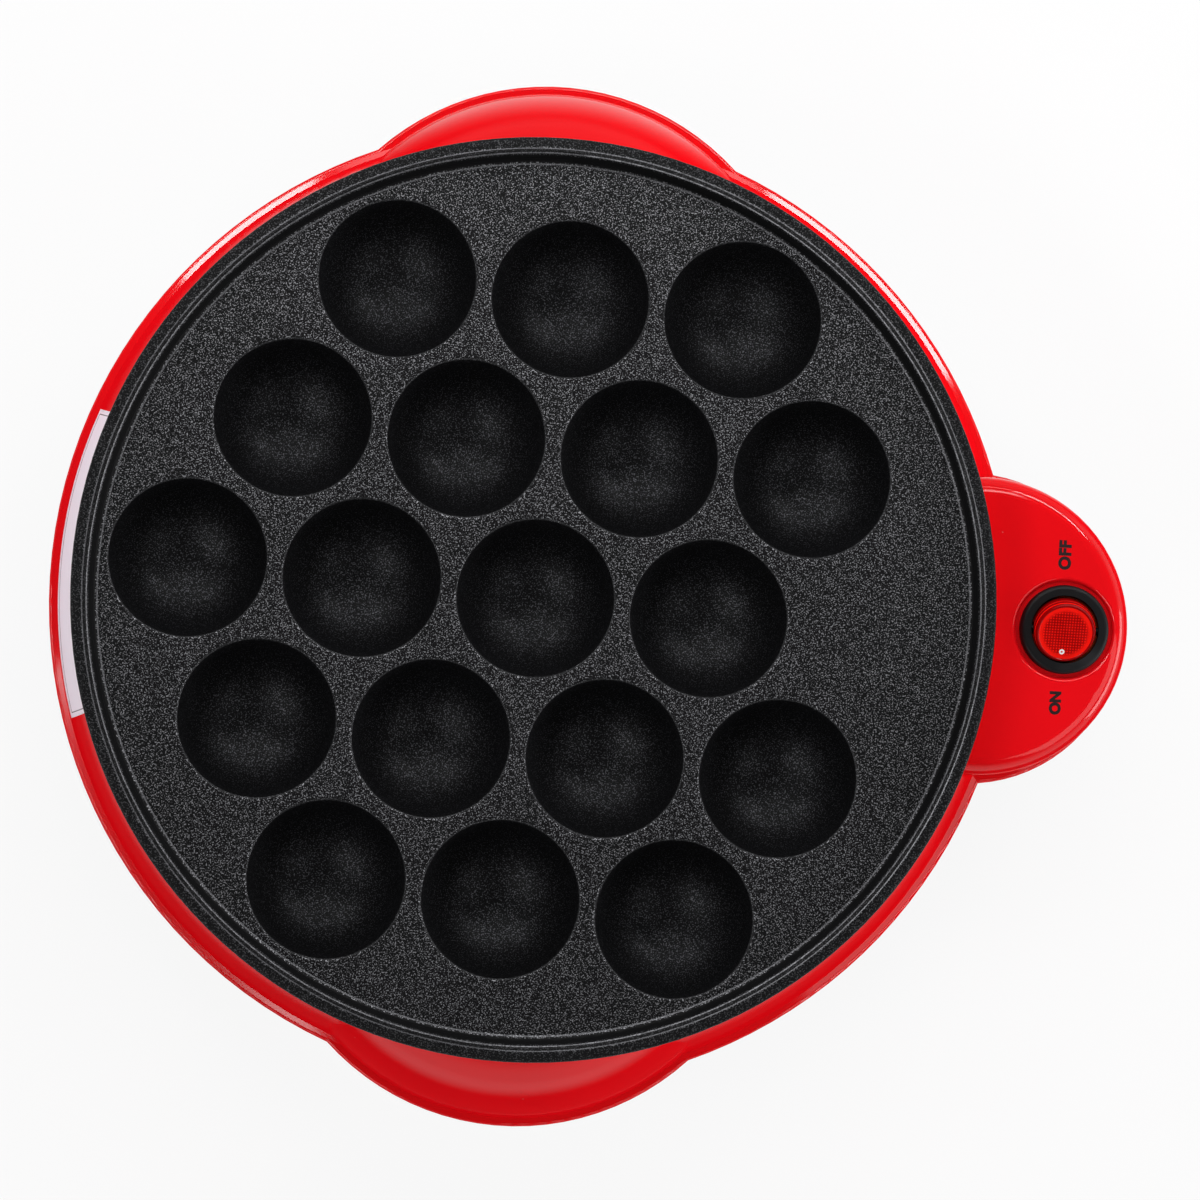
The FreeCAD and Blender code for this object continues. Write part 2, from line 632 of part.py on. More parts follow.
def upper_hollow_outline():
    """Half section of the inside of the round wall, up through the mouth that takes the plate."""
    wall_foot = WALL_FOOT - D["shell_wall"]
    return (
        (0, D["parting_height"] - 1),
        (wall_foot, D["parting_height"] - 1),
        (wall_foot, LIP_TOP, -D["wall_flare"] - D["shell_wall"]),
        (MOUTH_RADIUS, RIM_TOP - D["shell_wall"]),
        (MOUTH_RADIUS, RIM_TOP + 1),
        (0, RIM_TOP + 1),
    )


def ear_outline():
    """Half section of the outside of an ear, rounded from its lip up to the wall."""
    return lip_corners(D["ear_radius"]) + (
        (EAR_WALL, LIP_EDGE, D["ear_crown"]),
        (EAR_WALL - D["ear_slope"], EAR_TOP),
        (0, EAR_TOP),
    )


def ear_hollow_outline():
    """Half section of the inside of an ear, one wall in from the outside."""
    wall = D["shell_wall"]
    return (
        (0, D["parting_height"] - 1),
        (EAR_WALL - wall, D["parting_height"] - 1),
        (EAR_WALL - wall, LIP_EDGE, D["ear_crown"] - wall),
        (EAR_WALL - D["ear_slope"], EAR_TOP - wall),
        (0, EAR_TOP - wall),
    )


def pod_outline():
    """Half section of the outside of the switch pod, with a flat top and a leaning wall."""
    top_radius = POD_WALL - D["pod_draft"]
    return lip_corners(D["pod_radius"]) + (
        (POD_WALL, LIP_TOP),
        (top_radius, POD_TOP - D["pod_round"], D["pod_round"]),
        (top_radius - D["pod_round"], POD_TOP),
        (0, POD_TOP),
    )


def pod_hollow_outline():
    """Half section of the inside of the switch pod, one wall in from the outside."""
    wall = D["shell_wall"]
    foot_radius = POD_WALL - wall
    top_radius = foot_radius - D["pod_draft"]
    inner_round = D["pod_round"] - wall
    return (
        (0, D["parting_height"] - 1),
        (foot_radius, D["parting_height"] - 1),
        (foot_radius, LIP_TOP),
        (top_radius, POD_TOP - D["pod_round"], inner_round),
        (top_radius - inner_round, POD_TOP - wall),
        (0, POD_TOP - wall),
    )


def add_screw_posts(body):
    """Four posts with pilot holes from both ends, each joined to the wall by a web."""
    web = new_sketch(body, "web_outline", "XZ_Plane", turn=D["post_angle"])
    web_low = LIP_TOP
    web_high = PAN_RIM_HEIGHT - 1
    web_start = POST_CIRCLE + D["post_radius"] / 2
    draw_outline(web, (
        (web_start, web_low),
        (upper_wall_radius(web_low) - D["shell_wall"] / 2, web_low),
        (upper_wall_radius(web_high) - D["shell_wall"] / 2, web_high),
        (web_start, web_high),
    ))
    rib = extruded(body, "Pad", "post_web", web, D["shell_wall"], both_ways=True)
    repeat_round(body, rib, "post_webs", 4)
    place = new_sketch(body, "post_place", "XY_Plane", z=D["parting_height"], turn=D["post_angle"])
    draw_circle(place, POST_CIRCLE, 0, D["post_radius"])
    post = extruded(body, "Pad", "screw_post", place, POST_HEIGHT)
    repeat_round(body, post, "screw_posts", 4)
    low_hole = new_sketch(body, "screw_pilot_place", "XY_Plane", z=D["parting_height"], turn=D["post_angle"])
    draw_circle(low_hole, POST_CIRCLE, 0, D["screw_radius"] + D["screw_gap"])
    pilot = extruded(body, "Pocket", "screw_pilot", low_hole, POST_HEIGHT * 0.6, reverse=True)
    repeat_round(body, pilot, "screw_pilots", 4)
    top_hole = new_sketch(body, "pan_pilot_place", "XY_Plane", z=PAN_RIM_HEIGHT, turn=D["post_angle"])
    draw_circle(top_hole, POST_CIRCLE, 0, D["small_screw"] + D["screw_gap"])
    pan_pilot = extruded(body, "Pocket", "pan_pilot", top_hole, POST_HEIGHT * 0.4)
    repeat_round(body, pan_pilot, "pan_pilots", 4)


def cut_switch_opening(body):
    """The round recess and the panel hole that take the switch."""
    edge_round = D["recess_round"]
    turned(body, "Groove", "switch_recess", (
        (0, RECESS_FLOOR),
        (RECESS_RADIUS, RECESS_FLOOR),
        (RECESS_RADIUS, POD_TOP - edge_round, -edge_round),
        (RECESS_RADIUS + edge_round, POD_TOP),
        (RECESS_RADIUS + edge_round, POD_TOP + 1),
        (0, POD_TOP + 1),
    ), x=SWITCH_REACH)
    hole = new_sketch(body, "switch_hole_place", "XY_Plane", z=POD_TOP)
    draw_circle(hole, SWITCH_REACH, 0, D["switch_hole"])
    extruded(body, "Pocket", "switch_hole", hole, D["shell_wall"] * 2)


def thicken_switch_panel(body):
    """A pad under the pod top that keeps the panel one wall thick below the recess."""
    pad = new_sketch(body, "panel_pad_place", "XY_Plane", z=POD_TOP - D["shell_wall"] - D["recess_depth"])
    draw_circle(pad, SWITCH_REACH, 0, RECESS_RADIUS + D["shell_wall"] / 2)
    extruded(body, "Pad", "panel_pad", pad, D["recess_depth"] + D["shell_wall"] / 2)


def make_upper_housing():
    """Moulded upper shell: flared round wall, two ear handles and the switch pod over one lip."""
    body = new_body("upper_housing")
    turned(body, "Revolution", "round_wall", upper_wall_outline())
    ear = turned(body, "Revolution", "ear", ear_outline(), across=EAR_CENTRE)
    repeat_mirrored(body, ear, "ear_pair")
    turned(body, "Revolution", "pod", pod_outline(), x=POD_CENTRE)
    turned(body, "Groove", "round_hollow", upper_hollow_outline())
    ear_hollow = turned(body, "Groove", "ear_hollow", ear_hollow_outline(), across=EAR_CENTRE)
    repeat_mirrored(body, ear_hollow, "ear_hollow_pair")
    turned(body, "Groove", "pod_hollow", pod_hollow_outline(), x=POD_CENTRE)
    cut_lip_rebate(body)
    thicken_switch_panel(body)
    cut_switch_opening(body)
    add_screw_posts(body)
    return body


# Lower housing ---------------------------------------------------------------------------------

def bowl_outline(inset, top):
    """Half section of the lower bowl, a given wall inside its outer surface, up to a given height."""
    corner = D["base_round"] - inset
    belly_foot = BASE_RADIUS + corner
    edge = EDGE_RADIUS - inset
    return (
        (0, D["foot_height"] + inset),
        (BASE_RADIUS, D["foot_height"] + inset, corner),
        (belly_foot, D["foot_height"] + D["base_round"], D["lower_belly"] - inset),
        (edge, D["parting_height"] - D["edge_band"]),
        (edge, top),
        (0, top),
    )


def tray_outline(radius, floor, corner, inset, top):
    """Half section of a round tray under an ear or the pod, a given wall inside its outer surface."""
    edge = radius - D["parting_step"] - inset
    inner_corner = corner - inset
    return (
        (0, floor + inset),
        (edge - inner_corner, floor + inset, inner_corner),
        (edge, floor + corner),
        (edge, top),
        (0, top),
    )


def add_lower_forms(body, kind, prefix, inset, top):
    """Add the outer forms of the lower housing, or cut its inner ones."""
    turned(body, kind, f"{prefix}_bowl", bowl_outline(inset, top))
    ear = tray_outline(D["ear_radius"], EAR_FLOOR, D["ear_round"], inset, top)
    tray = turned(body, kind, f"{prefix}_ear", ear, across=EAR_CENTRE)
    repeat_mirrored(body, tray, f"{prefix}_ears")
    pod = tray_outline(D["pod_radius"], POD_FLOOR, D["tub_round"], inset, top)
    turned(body, kind, f"{prefix}_pod", pod, x=POD_CENTRE)


def add_gland_seat(body):
    """A short round boss on the wall under the pod, with a flat face for the cord gland."""
    seat = new_sketch(body, "gland_seat_place", "YZ_Plane", z=GLAND_FACE)
    draw_circle(seat, 0, GLAND_HEIGHT, D["gland_seat"])
    extruded(body, "Pad", "gland_seat", seat, D["gland_seat"] * 2, reverse=True)


def cut_gland_hole(body):
    """Thin the seat to one flat wall from inside, and open the hole for the gland."""
    inside = new_sketch(body, "gland_relief_place", "YZ_Plane", z=GLAND_FACE - D["shell_wall"])
    draw_circle(inside, 0, GLAND_HEIGHT, GLAND_LIP)
    extruded(body, "Pocket", "gland_relief", inside, D["gland_seat"] * 2)
    hole = new_sketch(body, "gland_hole_place", "YZ_Plane", z=GLAND_FACE + 1)
    draw_circle(hole, 0, GLAND_HEIGHT, D["gland_hole"])
    extruded(body, "Pocket", "gland_hole", hole, D["shell_wall"] * 3)


def add_screw_bosses(body):
    """Four bosses that meet the posts of the upper housing, each with a well for the screw head."""
    place = new_sketch(body, "boss_place", "XY_Plane", z=BASE_TOP - D["shell_wall"] / 2, turn=D["post_angle"])
    draw_circle(place, POST_CIRCLE, 0, D["boss_radius"])
    height = D["parting_height"] - BASE_TOP + D["shell_wall"] / 2
    repeat_round(body, extruded(body, "Pad", "screw_boss", place, height), "screw_bosses", 4)
    well = new_sketch(body, "well_place", "XY_Plane", z=D["foot_height"], turn=D["post_angle"])
    draw_circle(well, POST_CIRCLE, 0, D["head_well"])
    head_well = extruded(body, "Pocket", "head_well", well, D["well_depth"], reverse=True)
    repeat_round(body, head_well, "head_wells", 4)
    hole = new_sketch(body, "boss_hole_place", "XY_Plane", z=D["foot_height"], turn=D["post_angle"])
    draw_circle(hole, POST_CIRCLE, 0, D["screw_radius"] + D["screw_gap"])
    repeat_round(body, extruded(body, "Pocket", "boss_hole", hole, reverse=True), "boss_holes", 4)


def add_clamp_bosses(body):
    """Two bosses on the base for the cord clamp, with pilot holes."""
    place = new_sketch(body, "clamp_boss_place", "XY_Plane", z=BASE_TOP - D["shell_wall"] / 2)
    pilot = new_sketch(body, "clamp_pilot_place", "XY_Plane", z=CLAMP_HEIGHT)
    for side in (1, -1):
        draw_circle(place, CLAMP_REACH, D["clamp_spread"] * side, D["clamp_boss"])
        draw_circle(pilot, CLAMP_REACH, D["clamp_spread"] * side, D["small_screw"] + D["screw_gap"])
    extruded(body, "Pad", "clamp_bosses", place, CLAMP_HEIGHT - BASE_TOP + D["shell_wall"] / 2)
    extruded(body, "Pocket", "clamp_pilots", pilot, D["small_bite"])


def cut_base_holes(body):
    """Vent slots in a ring round the middle of the base, and holes for the stems of the feet."""
    slot = new_sketch(body, "vent_place", "XY_Plane", z=D["foot_height"])
    half = D["vent_width"] / 2
    draw_box(slot, D["vent_inner"], D["vent_outer"], -half, half)
    vent = extruded(body, "Pocket", "vent", slot, D["shell_wall"] * 2, reverse=True)
    repeat_round(body, vent, "vents", 16)
    stem = new_sketch(body, "stem_place", "XY_Plane", z=D["foot_height"], turn=D["post_angle"])
    draw_circle(stem, FOOT_CIRCLE, 0, D["foot_stem"] + D["screw_gap"])
    hole = extruded(body, "Pocket", "stem_hole", stem, D["shell_wall"] * 2, reverse=True)
    repeat_round(body, hole, "stem_holes", 4)


def make_lower_housing():
    """Moulded lower shell: a bowl with trays under the ears, a tub under the pod and a tongue all round."""
    body = new_body("lower_housing")
    tongue_top = D["parting_height"] + D["tongue_height"]
    add_lower_forms(body, "Revolution", "outer", as_size(0), D["parting_height"])
    add_lower_forms(body, "Revolution", "tongue", D["shell_wall"] / 2, tongue_top)
    add_gland_seat(body)
    add_lower_forms(body, "Groove", "inner", D["shell_wall"], tongue_top + 1)
    cut_gland_hole(body)
    add_screw_bosses(body)
    add_clamp_bosses(body)
    cut_base_holes(body)
    return body


# Switch ----------------------------------------------------------------------------------------

def make_switch_housing():
    """Round rocker switch body: rounded bezel over the panel and a barrel below it."""
    body = new_body("switch_housing")
    barrel = D["switch_hole"] - D["pin_gap"] * 2
    crown = D["bezel_height"] / 2
    turned(body, "Revolution", "bezel_and_barrel", (
        (0, BARREL_BOTTOM),
        (barrel, BARREL_BOTTOM),
        (barrel, RECESS_FLOOR),
        (BEZEL_RADIUS, RECESS_FLOOR),
        (BEZEL_RADIUS, BEZEL_TOP - crown, crown),
        (BEZEL_RADIUS - crown, BEZEL_TOP),
        (0, BEZEL_TOP),
    ), x=SWITCH_REACH)
    turned(body, "Groove", "rocker_well", (
        (0, BARREL_BOTTOM + D["barrel_floor"]),
        (BEZEL_OPENING, BARREL_BOTTOM + D["barrel_floor"]),
        (BEZEL_OPENING, BEZEL_TOP + 1),
        (0, BEZEL_TOP + 1),
    ), x=SWITCH_REACH)
    socket = new_sketch(body, "pin_socket_place", "YZ_Plane", z=SWITCH_REACH)
    draw_circle(socket, 0, PIVOT_HEIGHT, D["pin_radius"] + D["pin_gap"])
    length = D["switch_hole"] * 2 - D["pin_gap"] * 8
    extruded(body, "Pocket", "pin_sockets", socket, length, both_ways=True)
    return body


def rocker_side_outline():
    """Side section of what the tilted face leaves away above the rocker, pressed to ON."""
    reach = ROCKER_RADIUS
    middle = PIVOT_HEIGHT + D["rocker_face"] / cosine(D["rocker_angle"])
    rise = reach * sine(D["rocker_angle"]) / cosine(D["rocker_angle"])
    top = middle + reach
    return (
        (-reach, middle - rise),
        (reach, middle + rise),
        (reach, top),
        (-reach, top),
    )


def make_switch_rocker():
    """Translucent round rocker: a ball side about the pivot, one flat face and two pivot pins."""
    body = new_body("switch_rocker")
    reach = ROCKER_RADIUS
    depth = reach / 2
    top = reach * 0.7
    turned(body, "Revolution", "rocker_button", (
        (0, PIVOT_HEIGHT - depth),
        (half_chord(reach, depth), PIVOT_HEIGHT - depth, reach),
        (half_chord(reach, top), PIVOT_HEIGHT + top),
        (0, PIVOT_HEIGHT + top),
    ), x=SWITCH_REACH)
    side = new_sketch(body, "rocker_side", "YZ_Plane", z=SWITCH_REACH)
    draw_outline(side, rocker_side_outline())
    extruded(body, "Pocket", "rocker_face", side, reach * 4, both_ways=True)
    pins = new_sketch(body, "pin_place", "YZ_Plane", z=SWITCH_REACH)
    draw_circle(pins, 0, PIVOT_HEIGHT, D["pin_radius"])
    extruded(body, "Pad", "pivot_pins", pins, D["switch_hole"] * 2 - D["pin_gap"] * 10, both_ways=True)
    return body


# Reflector and heater --------------------------------------------------------------------------

# The cradles stand at these angles from the pod, clear of the heater ends.
CRADLE_ANGLES = (90, 180, 270)


def bracket_screw_places():
    """Place of each small screw in the floor of the pan."""
    cradle = HEATER_RADIUS + D["cradle_screw"]
    places = [(cradle * cosine(as_size(angle)), cradle * sine(as_size(angle))) for angle in CRADLE_ANGLES]
    places += [(as_size(0), (D["bracket_top"] + D["bracket_step"]) * side) for side in (1, -1)]
    places += [(D["strap_screw"] * side - D["fuse_place"], as_size(0)) for side in (1, -1)]
    return places


def cut_bracket_holes(body, height):
    """Holes in the floor of the pan for the screws of the cradles, the bracket and the strap."""
    holes = new_sketch(body, "bracket_hole_place", "XY_Plane", z=height)
    for x, y in bracket_screw_places():
        draw_circle(holes, clean(x), clean(y), D["small_screw"] + D["screw_gap"])
    extruded(body, "Pocket", "bracket_holes", holes, D["pan_sheet"] + 1)


def screw_outline(shank, length, head, height, seat, head_up=True):
    """Half section of a screw with its head on a seat, pointing down or up from it."""
    way = 1 if head_up else -1
    crown = seat + height * way
    tip = seat - length * way
    corners = [
        (0, tip),
        (shank, tip),
        (shank, seat),
        (head, seat),
        (head, seat + height * (way * 0.5)),
        (head * 0.7, crown),
        (0, crown),
    ]
    return corners if head_up else corners[::-1]


def cut_leg_window(body, rim_top):
    """Open the wall and the rim of the pan where the heater legs and their bushes pass."""
    window = new_sketch(body, "leg_window_place", "YZ_Plane", z=PAN_FLOOR_RADIUS)
    half_width = D["heater_spread"] + D["bush_radius"] + D["pan_sheet"]
    floor = HEATER_HEIGHT - D["heater_tube"] - D["contact_gap"] * 2
    draw_box(window, -half_width, half_width, floor, rim_top + 1)
    extruded(body, "Pocket", "leg_window", window, PAN_RIM_RADIUS / 4, reverse=True)


def make_reflector_pan():
    """Pressed pan that carries the heater, with a rim that rests on the screw posts."""
    body = new_body("reflector_pan")
    sheet = D["pan_sheet"]
    rim_top = PAN_RIM_HEIGHT + sheet
    turned(body, "Revolution", "pan_sheet", (
        (0, PAN_FLOOR - sheet),
        (PAN_FLOOR_RADIUS + sheet, PAN_FLOOR - sheet),
        (PAN_LIP_RADIUS + sheet, PAN_RIM_HEIGHT),
        (PAN_RIM_RADIUS, PAN_RIM_HEIGHT),
        (PAN_RIM_RADIUS, rim_top),
        (PAN_LIP_RADIUS, rim_top),
        (PAN_FLOOR_RADIUS, PAN_FLOOR),
        (0, PAN_FLOOR),
    ))
    screw = new_sketch(body, "pan_screw_place", "XY_Plane", z=rim_top + 1, turn=D["post_angle"])
    draw_circle(screw, POST_CIRCLE, 0, D["small_screw"] + D["screw_gap"])
    hole = extruded(body, "Pocket", "pan_screw_hole", screw, sheet + 2)
    repeat_round(body, hole, "pan_screw_holes", 4)
    cut_bracket_holes(body, PAN_FLOOR)
    cut_leg_window(body, rim_top)
    return body


def heater_path(body):
    """Centre line of the heater: an open ring whose two ends turn out beside each other."""
    ring = HEATER_RADIUS
    bend = D["heater_bend"]
    spread = D["heater_spread"]
    pivot_y = (spread + bend).value
    pivot_x = math.sqrt((ring + bend).value ** 2 - pivot_y ** 2)
    share = ring.value / (ring + bend).value
    turn_x = pivot_x * share
    turn_y = pivot_y * share
    path = new_sketch(body, "heater_path", "XY_Plane", z=HEATER_HEIGHT)
    up = FreeCAD.Vector(0, 0, 1)
    start = math.atan2(turn_y, turn_x)
    circle = Part.Circle(FreeCAD.Vector(), up, ring.value)
    ring_arc = path.addGeometry(Part.ArcOfCircle(circle, start, 2 * math.pi - start), False)
    path.addConstraint(Sketcher.Constraint("Coincident", ring_arc, 3, -1, 1))
    set_radius(path, ring_arc, ring)
    for side in (1, -1):
        inner = FreeCAD.Vector(turn_x, side * turn_y, 0)
        outer = FreeCAD.Vector(pivot_x, side * spread.value, 0)
        end = FreeCAD.Vector(HEATER_LEG.value, side * spread.value, 0)
        bend_arc = path.addGeometry(arc_between(inner, outer, side * bend.value), False)
        leg = path.addGeometry(Part.LineSegment(outer, end), False)
        inner_vertex, outer_vertex = (1, 2) if side > 0 else (2, 1)
        ring_vertex = 1 if side > 0 else 2
        path.addConstraint(Sketcher.Constraint("Tangent", ring_arc, ring_vertex, bend_arc, inner_vertex))
        path.addConstraint(Sketcher.Constraint("Tangent", bend_arc, outer_vertex, leg, 1))
        path.addConstraint(Sketcher.Constraint("Horizontal", leg))
        set_radius(path, bend_arc, bend)
        pin_point(path, leg, 2, HEATER_LEG, spread * side)
    return path


def make_heating_element():
    """Tubular heater bent to an open ring under the cups."""
    body = new_body("heating_element")
    path = heater_path(body)
    section = new_sketch(body, "tube_section", "YZ_Plane", z=HEATER_LEG)
    draw_circle(section, D["heater_spread"], HEATER_HEIGHT, D["heater_tube"])
    pipe = body.newObject("PartDesign::AdditivePipe", "heater_tube")
    pipe.Profile = section
    pipe.Spine = path
    return body


# Feet ------------------------------------------------------------------------------------------

def make_foot(number):
    """Rubber foot: a tapered pad under the base with a stem that snaps through it."""
    body = new_body(f"foot_{number}")
    angle = D["post_angle"] + 90 * (number - 1)
    stem_top = BASE_TOP + D["shell_wall"]
    turned(body, "Revolution", "foot_pad", (
        (0, 0),
        (D["foot_radius"] - 1, 0, as_size(1)),
        (D["foot_radius"], 1),
        (D["foot_radius"] - 1, D["foot_height"]),
        (D["foot_stem"], D["foot_height"]),
        (D["foot_stem"], BASE_TOP),
        (D["foot_stem"] + 1, BASE_TOP),
        (D["foot_stem"] / 2, stem_top),
        (0, stem_top),
    ), x=FOOT_CIRCLE * cosine(angle), across=FOOT_CIRCLE * sine(angle))
    return body


# Pieces on the pan -----------------------------------------------------------------------------

def make_heater_cradle(number, angle):
    """Bent sheet cradle that holds the heater from below, with a foot screwed to the pan."""
    body = new_body(f"heater_cradle_{number}")
    sketch = new_sketch(body, "cradle_outline", "XZ_Plane", turn=as_size(angle))
    tube = HEATER_RADIUS
    inner = D["heater_tube"] + D["contact_gap"]
    outer = inner + D["cradle_wall"]
    half_web = D["cradle_wall"]
    foot = D["cradle_screw"] + D["foot_edge"]
    foot_top = PAN_FLOOR + D["cradle_wall"]
    arm_top = HEATER_HEIGHT - D["cradle_wall"] / 2
    web_top = HEATER_HEIGHT - half_chord(outer, half_web)
    inner_half = half_chord(inner, D["cradle_wall"] / 2)
    outer_half = half_chord(outer, D["cradle_wall"] / 2)
    draw_outline(sketch, (
        (tube - inner * 2, PAN_FLOOR),
        (tube + foot, PAN_FLOOR),
        (tube + foot, foot_top),
        (tube + half_web, foot_top),
        (tube + half_web, web_top, outer),
        (tube + outer_half, arm_top),
        (tube + inner_half, arm_top, -inner),
        (tube - inner_half, arm_top),
        (tube - outer_half, arm_top, outer),
        (tube - half_web, web_top),
        (tube - half_web, foot_top),
        (tube - inner * 2, foot_top),
    ))
    extruded(body, "Pad", "cradle", sketch, D["cradle_width"], both_ways=True)
    hole = new_sketch(body, "cradle_hole_place", "XY_Plane", z=foot_top, turn=as_size(angle))
    draw_circle(hole, tube + D["cradle_screw"], 0, D["small_screw"] + D["screw_gap"])
    extruded(body, "Pocket", "cradle_hole", hole, D["cradle_wall"] * 2)
    return body


def make_thermostat_bracket():
    """Hat-shaped strip that lifts the thermostat to the middle cup."""
    body = new_body("thermostat_bracket")
    sketch = new_sketch(body, "bracket_outline", "YZ_Plane")
    sheet = D["bracket_sheet"]
    crown = PAN_FLOOR + D["bracket_height"]
    screw = D["bracket_top"] + D["bracket_step"]
    reach = screw + D["foot_edge"]
    draw_outline(sketch, (
        (-reach, PAN_FLOOR),
        (-D["bracket_top"] - sheet, PAN_FLOOR),
        (-D["bracket_top"], crown - sheet),
        (D["bracket_top"], crown - sheet),
        (D["bracket_top"] + sheet, PAN_FLOOR),
        (reach, PAN_FLOOR),
        (reach, PAN_FLOOR + sheet),
        (D["bracket_top"] + sheet * 2, PAN_FLOOR + sheet),
        (D["bracket_top"] + sheet, crown),
        (-D["bracket_top"] - sheet, crown),
        (-D["bracket_top"] - sheet * 2, PAN_FLOOR + sheet),
        (-reach, PAN_FLOOR + sheet),
    ))
    extruded(body, "Pad", "bracket", sketch, D["bracket_width"], both_ways=True)
    holes = new_sketch(body, "bracket_hole_place", "XY_Plane", z=PAN_FLOOR + sheet)
    for side in (1, -1):
        draw_circle(holes, 0, screw * side, D["small_screw"] + D["screw_gap"])
    extruded(body, "Pocket", "bracket_holes", holes, sheet * 2)
    return body


def make_thermostat():
    """Bimetal thermostat: metal cap under the middle cup, moulded base and two blades."""
    body = new_body("thermostat")
    seat = PAN_FLOOR + D["bracket_height"]
    cap = D["thermostat_radius"]
    cap_top = CUP_BOTTOM - D["contact_gap"]
    base_top = (seat + cap_top) / 2
    turned(body, "Revolution", "cap_and_base", (
        (0, seat),
        (cap - 1, seat),
        (cap - 1, base_top),
        (cap + 1, base_top),
        (cap + 1, base_top + 1),
        (cap, base_top + 1),
        (cap, cap_top - 1, as_size(1)),
        (cap - 1, cap_top),
        (0, cap_top),
    ))
    blades = new_sketch(body, "blade_place", "YZ_Plane")
    half = D["blade_width"] / 2
    draw_box(blades, -half, half, seat + 1, seat + 1 + D["blade_thickness"])
    extruded(body, "Pad", "blades", blades, (cap + D["blade_width"]) * 2, both_ways=True)
    return body


def make_thermal_fuse():
    """Thermal fuse: a small barrel with a lead at each end."""
    body = new_body("thermal_fuse")
    height = PAN_FLOOR + D["fuse_radius"] + D["contact_gap"]
    barrel = new_sketch(body, "fuse_place", "XZ_Plane")
    draw_circle(barrel, -D["fuse_place"], height, D["fuse_radius"])
    extruded(body, "Pad", "fuse_barrel", barrel, D["fuse_length"], both_ways=True)
    lead = new_sketch(body, "fuse_lead_place", "XZ_Plane")
    draw_circle(lead, -D["fuse_place"], height, D["fuse_radius"] / 4)
    extruded(body, "Pad", "fuse_leads", lead, D["fuse_length"] * 3, both_ways=True)
    return body


def make_fuse_strap():
    """Strap over the thermal fuse with a foot on each side."""
    body = new_body("fuse_strap")
    sketch = new_sketch(body, "strap_outline", "XZ_Plane", x=-D["fuse_place"])
    sheet = D["strap_sheet"]
    inner = D["fuse_radius"] + D["contact_gap"]
    outer = inner + sheet
    step = D["contact_gap"]
    reach = D["strap_screw"] + D["foot_edge"]
    spring = PAN_FLOOR + inner + step
    foot_top = PAN_FLOOR + sheet
    draw_outline(sketch, (
        (-reach, PAN_FLOOR),
        (-half_chord(inner, step), PAN_FLOOR),
        (-half_chord(inner, step), spring, -inner),
        (half_chord(inner, step), spring),
        (half_chord(inner, step), PAN_FLOOR),
        (reach, PAN_FLOOR),
        (reach, foot_top),
        (half_chord(outer, step), foot_top),
        (half_chord(outer, step), spring, outer),
        (-half_chord(outer, step), spring),
        (-half_chord(outer, step), foot_top),
        (-reach, foot_top),
    ))
    extruded(body, "Pad", "strap", sketch, D["strap_width"], both_ways=True)
    holes = new_sketch(body, "strap_hole_place", "XY_Plane", x=-D["fuse_place"], z=foot_top)
    for side in (1, -1):
        draw_circle(holes, D["strap_screw"] * side, 0, D["small_screw"] + D["screw_gap"])
    extruded(body, "Pocket", "strap_holes", holes, sheet * 2)
    return body


def make_terminal_bush(number, side):
    """Ceramic bush that closes one end of the heater tube."""
    body = new_body(f"terminal_bush_{number}")
    inner = D["terminal_pin"] + D["screw_gap"]
    near = HEATER_LEG
    far = near + D["bush_length"]
    turned_level(body, "Revolution", "bush", (
        (near, inner),
        (far, inner),
        (far, D["bush_radius"] * 0.7),
        (far - D["bush_length"] / 3, D["bush_radius"]),
        (near, D["bush_radius"]),
    ), across=D["heater_spread"] * side, height=HEATER_HEIGHT)
    return body


def make_terminal_pin(number, side):
    """Steel pin out of one end of the heater, flattened to a blade for a push-on connector."""
    body = new_body(f"terminal_pin_{number}")
    near = HEATER_LEG
    far = near + D["terminal_length"]
    turned_level(body, "Revolution", "pin", (
        (near, 0),
        (near, D["terminal_pin"]),
        (far, D["terminal_pin"]),
        (far, 0),
    ), across=D["heater_spread"] * side, height=HEATER_HEIGHT)
    blade = new_sketch(body, "blade_place", "YZ_Plane", x=D["heater_spread"] * side, y=HEATER_HEIGHT, z=far)
    half_width = D["blade_width"] / 2
    half_sheet = D["blade_thickness"] / 2
    draw_box(blade, -half_width, half_width, -half_sheet, half_sheet)
    extruded(body, "Pad", "blade", blade, D["blade_length"])
    return body


# Fasteners -------------------------------------------------------------------------------------

def make_bracket_screws():
    """Screws that hold the cradles, the thermostat bracket and the fuse strap to the pan."""
    body = new_body("bracket_screws", many=True)
    seats = [PAN_FLOOR + D["cradle_wall"]] * 3 + [PAN_FLOOR + D["bracket_sheet"]] * 2
    seats += [PAN_FLOOR + D["strap_sheet"]] * 2
    for number, ((x, y), seat) in enumerate(zip(bracket_screw_places(), seats), start=1):
        length = D["small_bite"] / 2
        outline = screw_outline(D["small_screw"], length, D["screw_head"], D["head_height"], seat)
        turned(body, "Revolution", f"screw_{number}", outline, x=clean(x), across=clean(y))
    return body


def make_screw_ring(label, radius, shank, length, head, height, seat, head_up):
    """Four like screws on a circle at the post angles."""
    body = new_body(label, many=True)
    outline = screw_outline(shank, length, head, height, seat, head_up)
    x = radius * cosine(D["post_angle"])
    y = radius * sine(D["post_angle"])
    screw = turned(body, "Revolution", "screw", outline, x=x, across=y)
    repeat_round(body, screw, "screws", 4)
    return body


def make_pan_screws():
    """Screws that hold the rim of the pan to the posts."""
    seat = PAN_RIM_HEIGHT + D["pan_sheet"]
    return make_screw_ring("pan_screws", POST_CIRCLE, D["small_screw"], POST_HEIGHT * 0.4,
                           D["screw_head"], D["head_height"], seat, True)


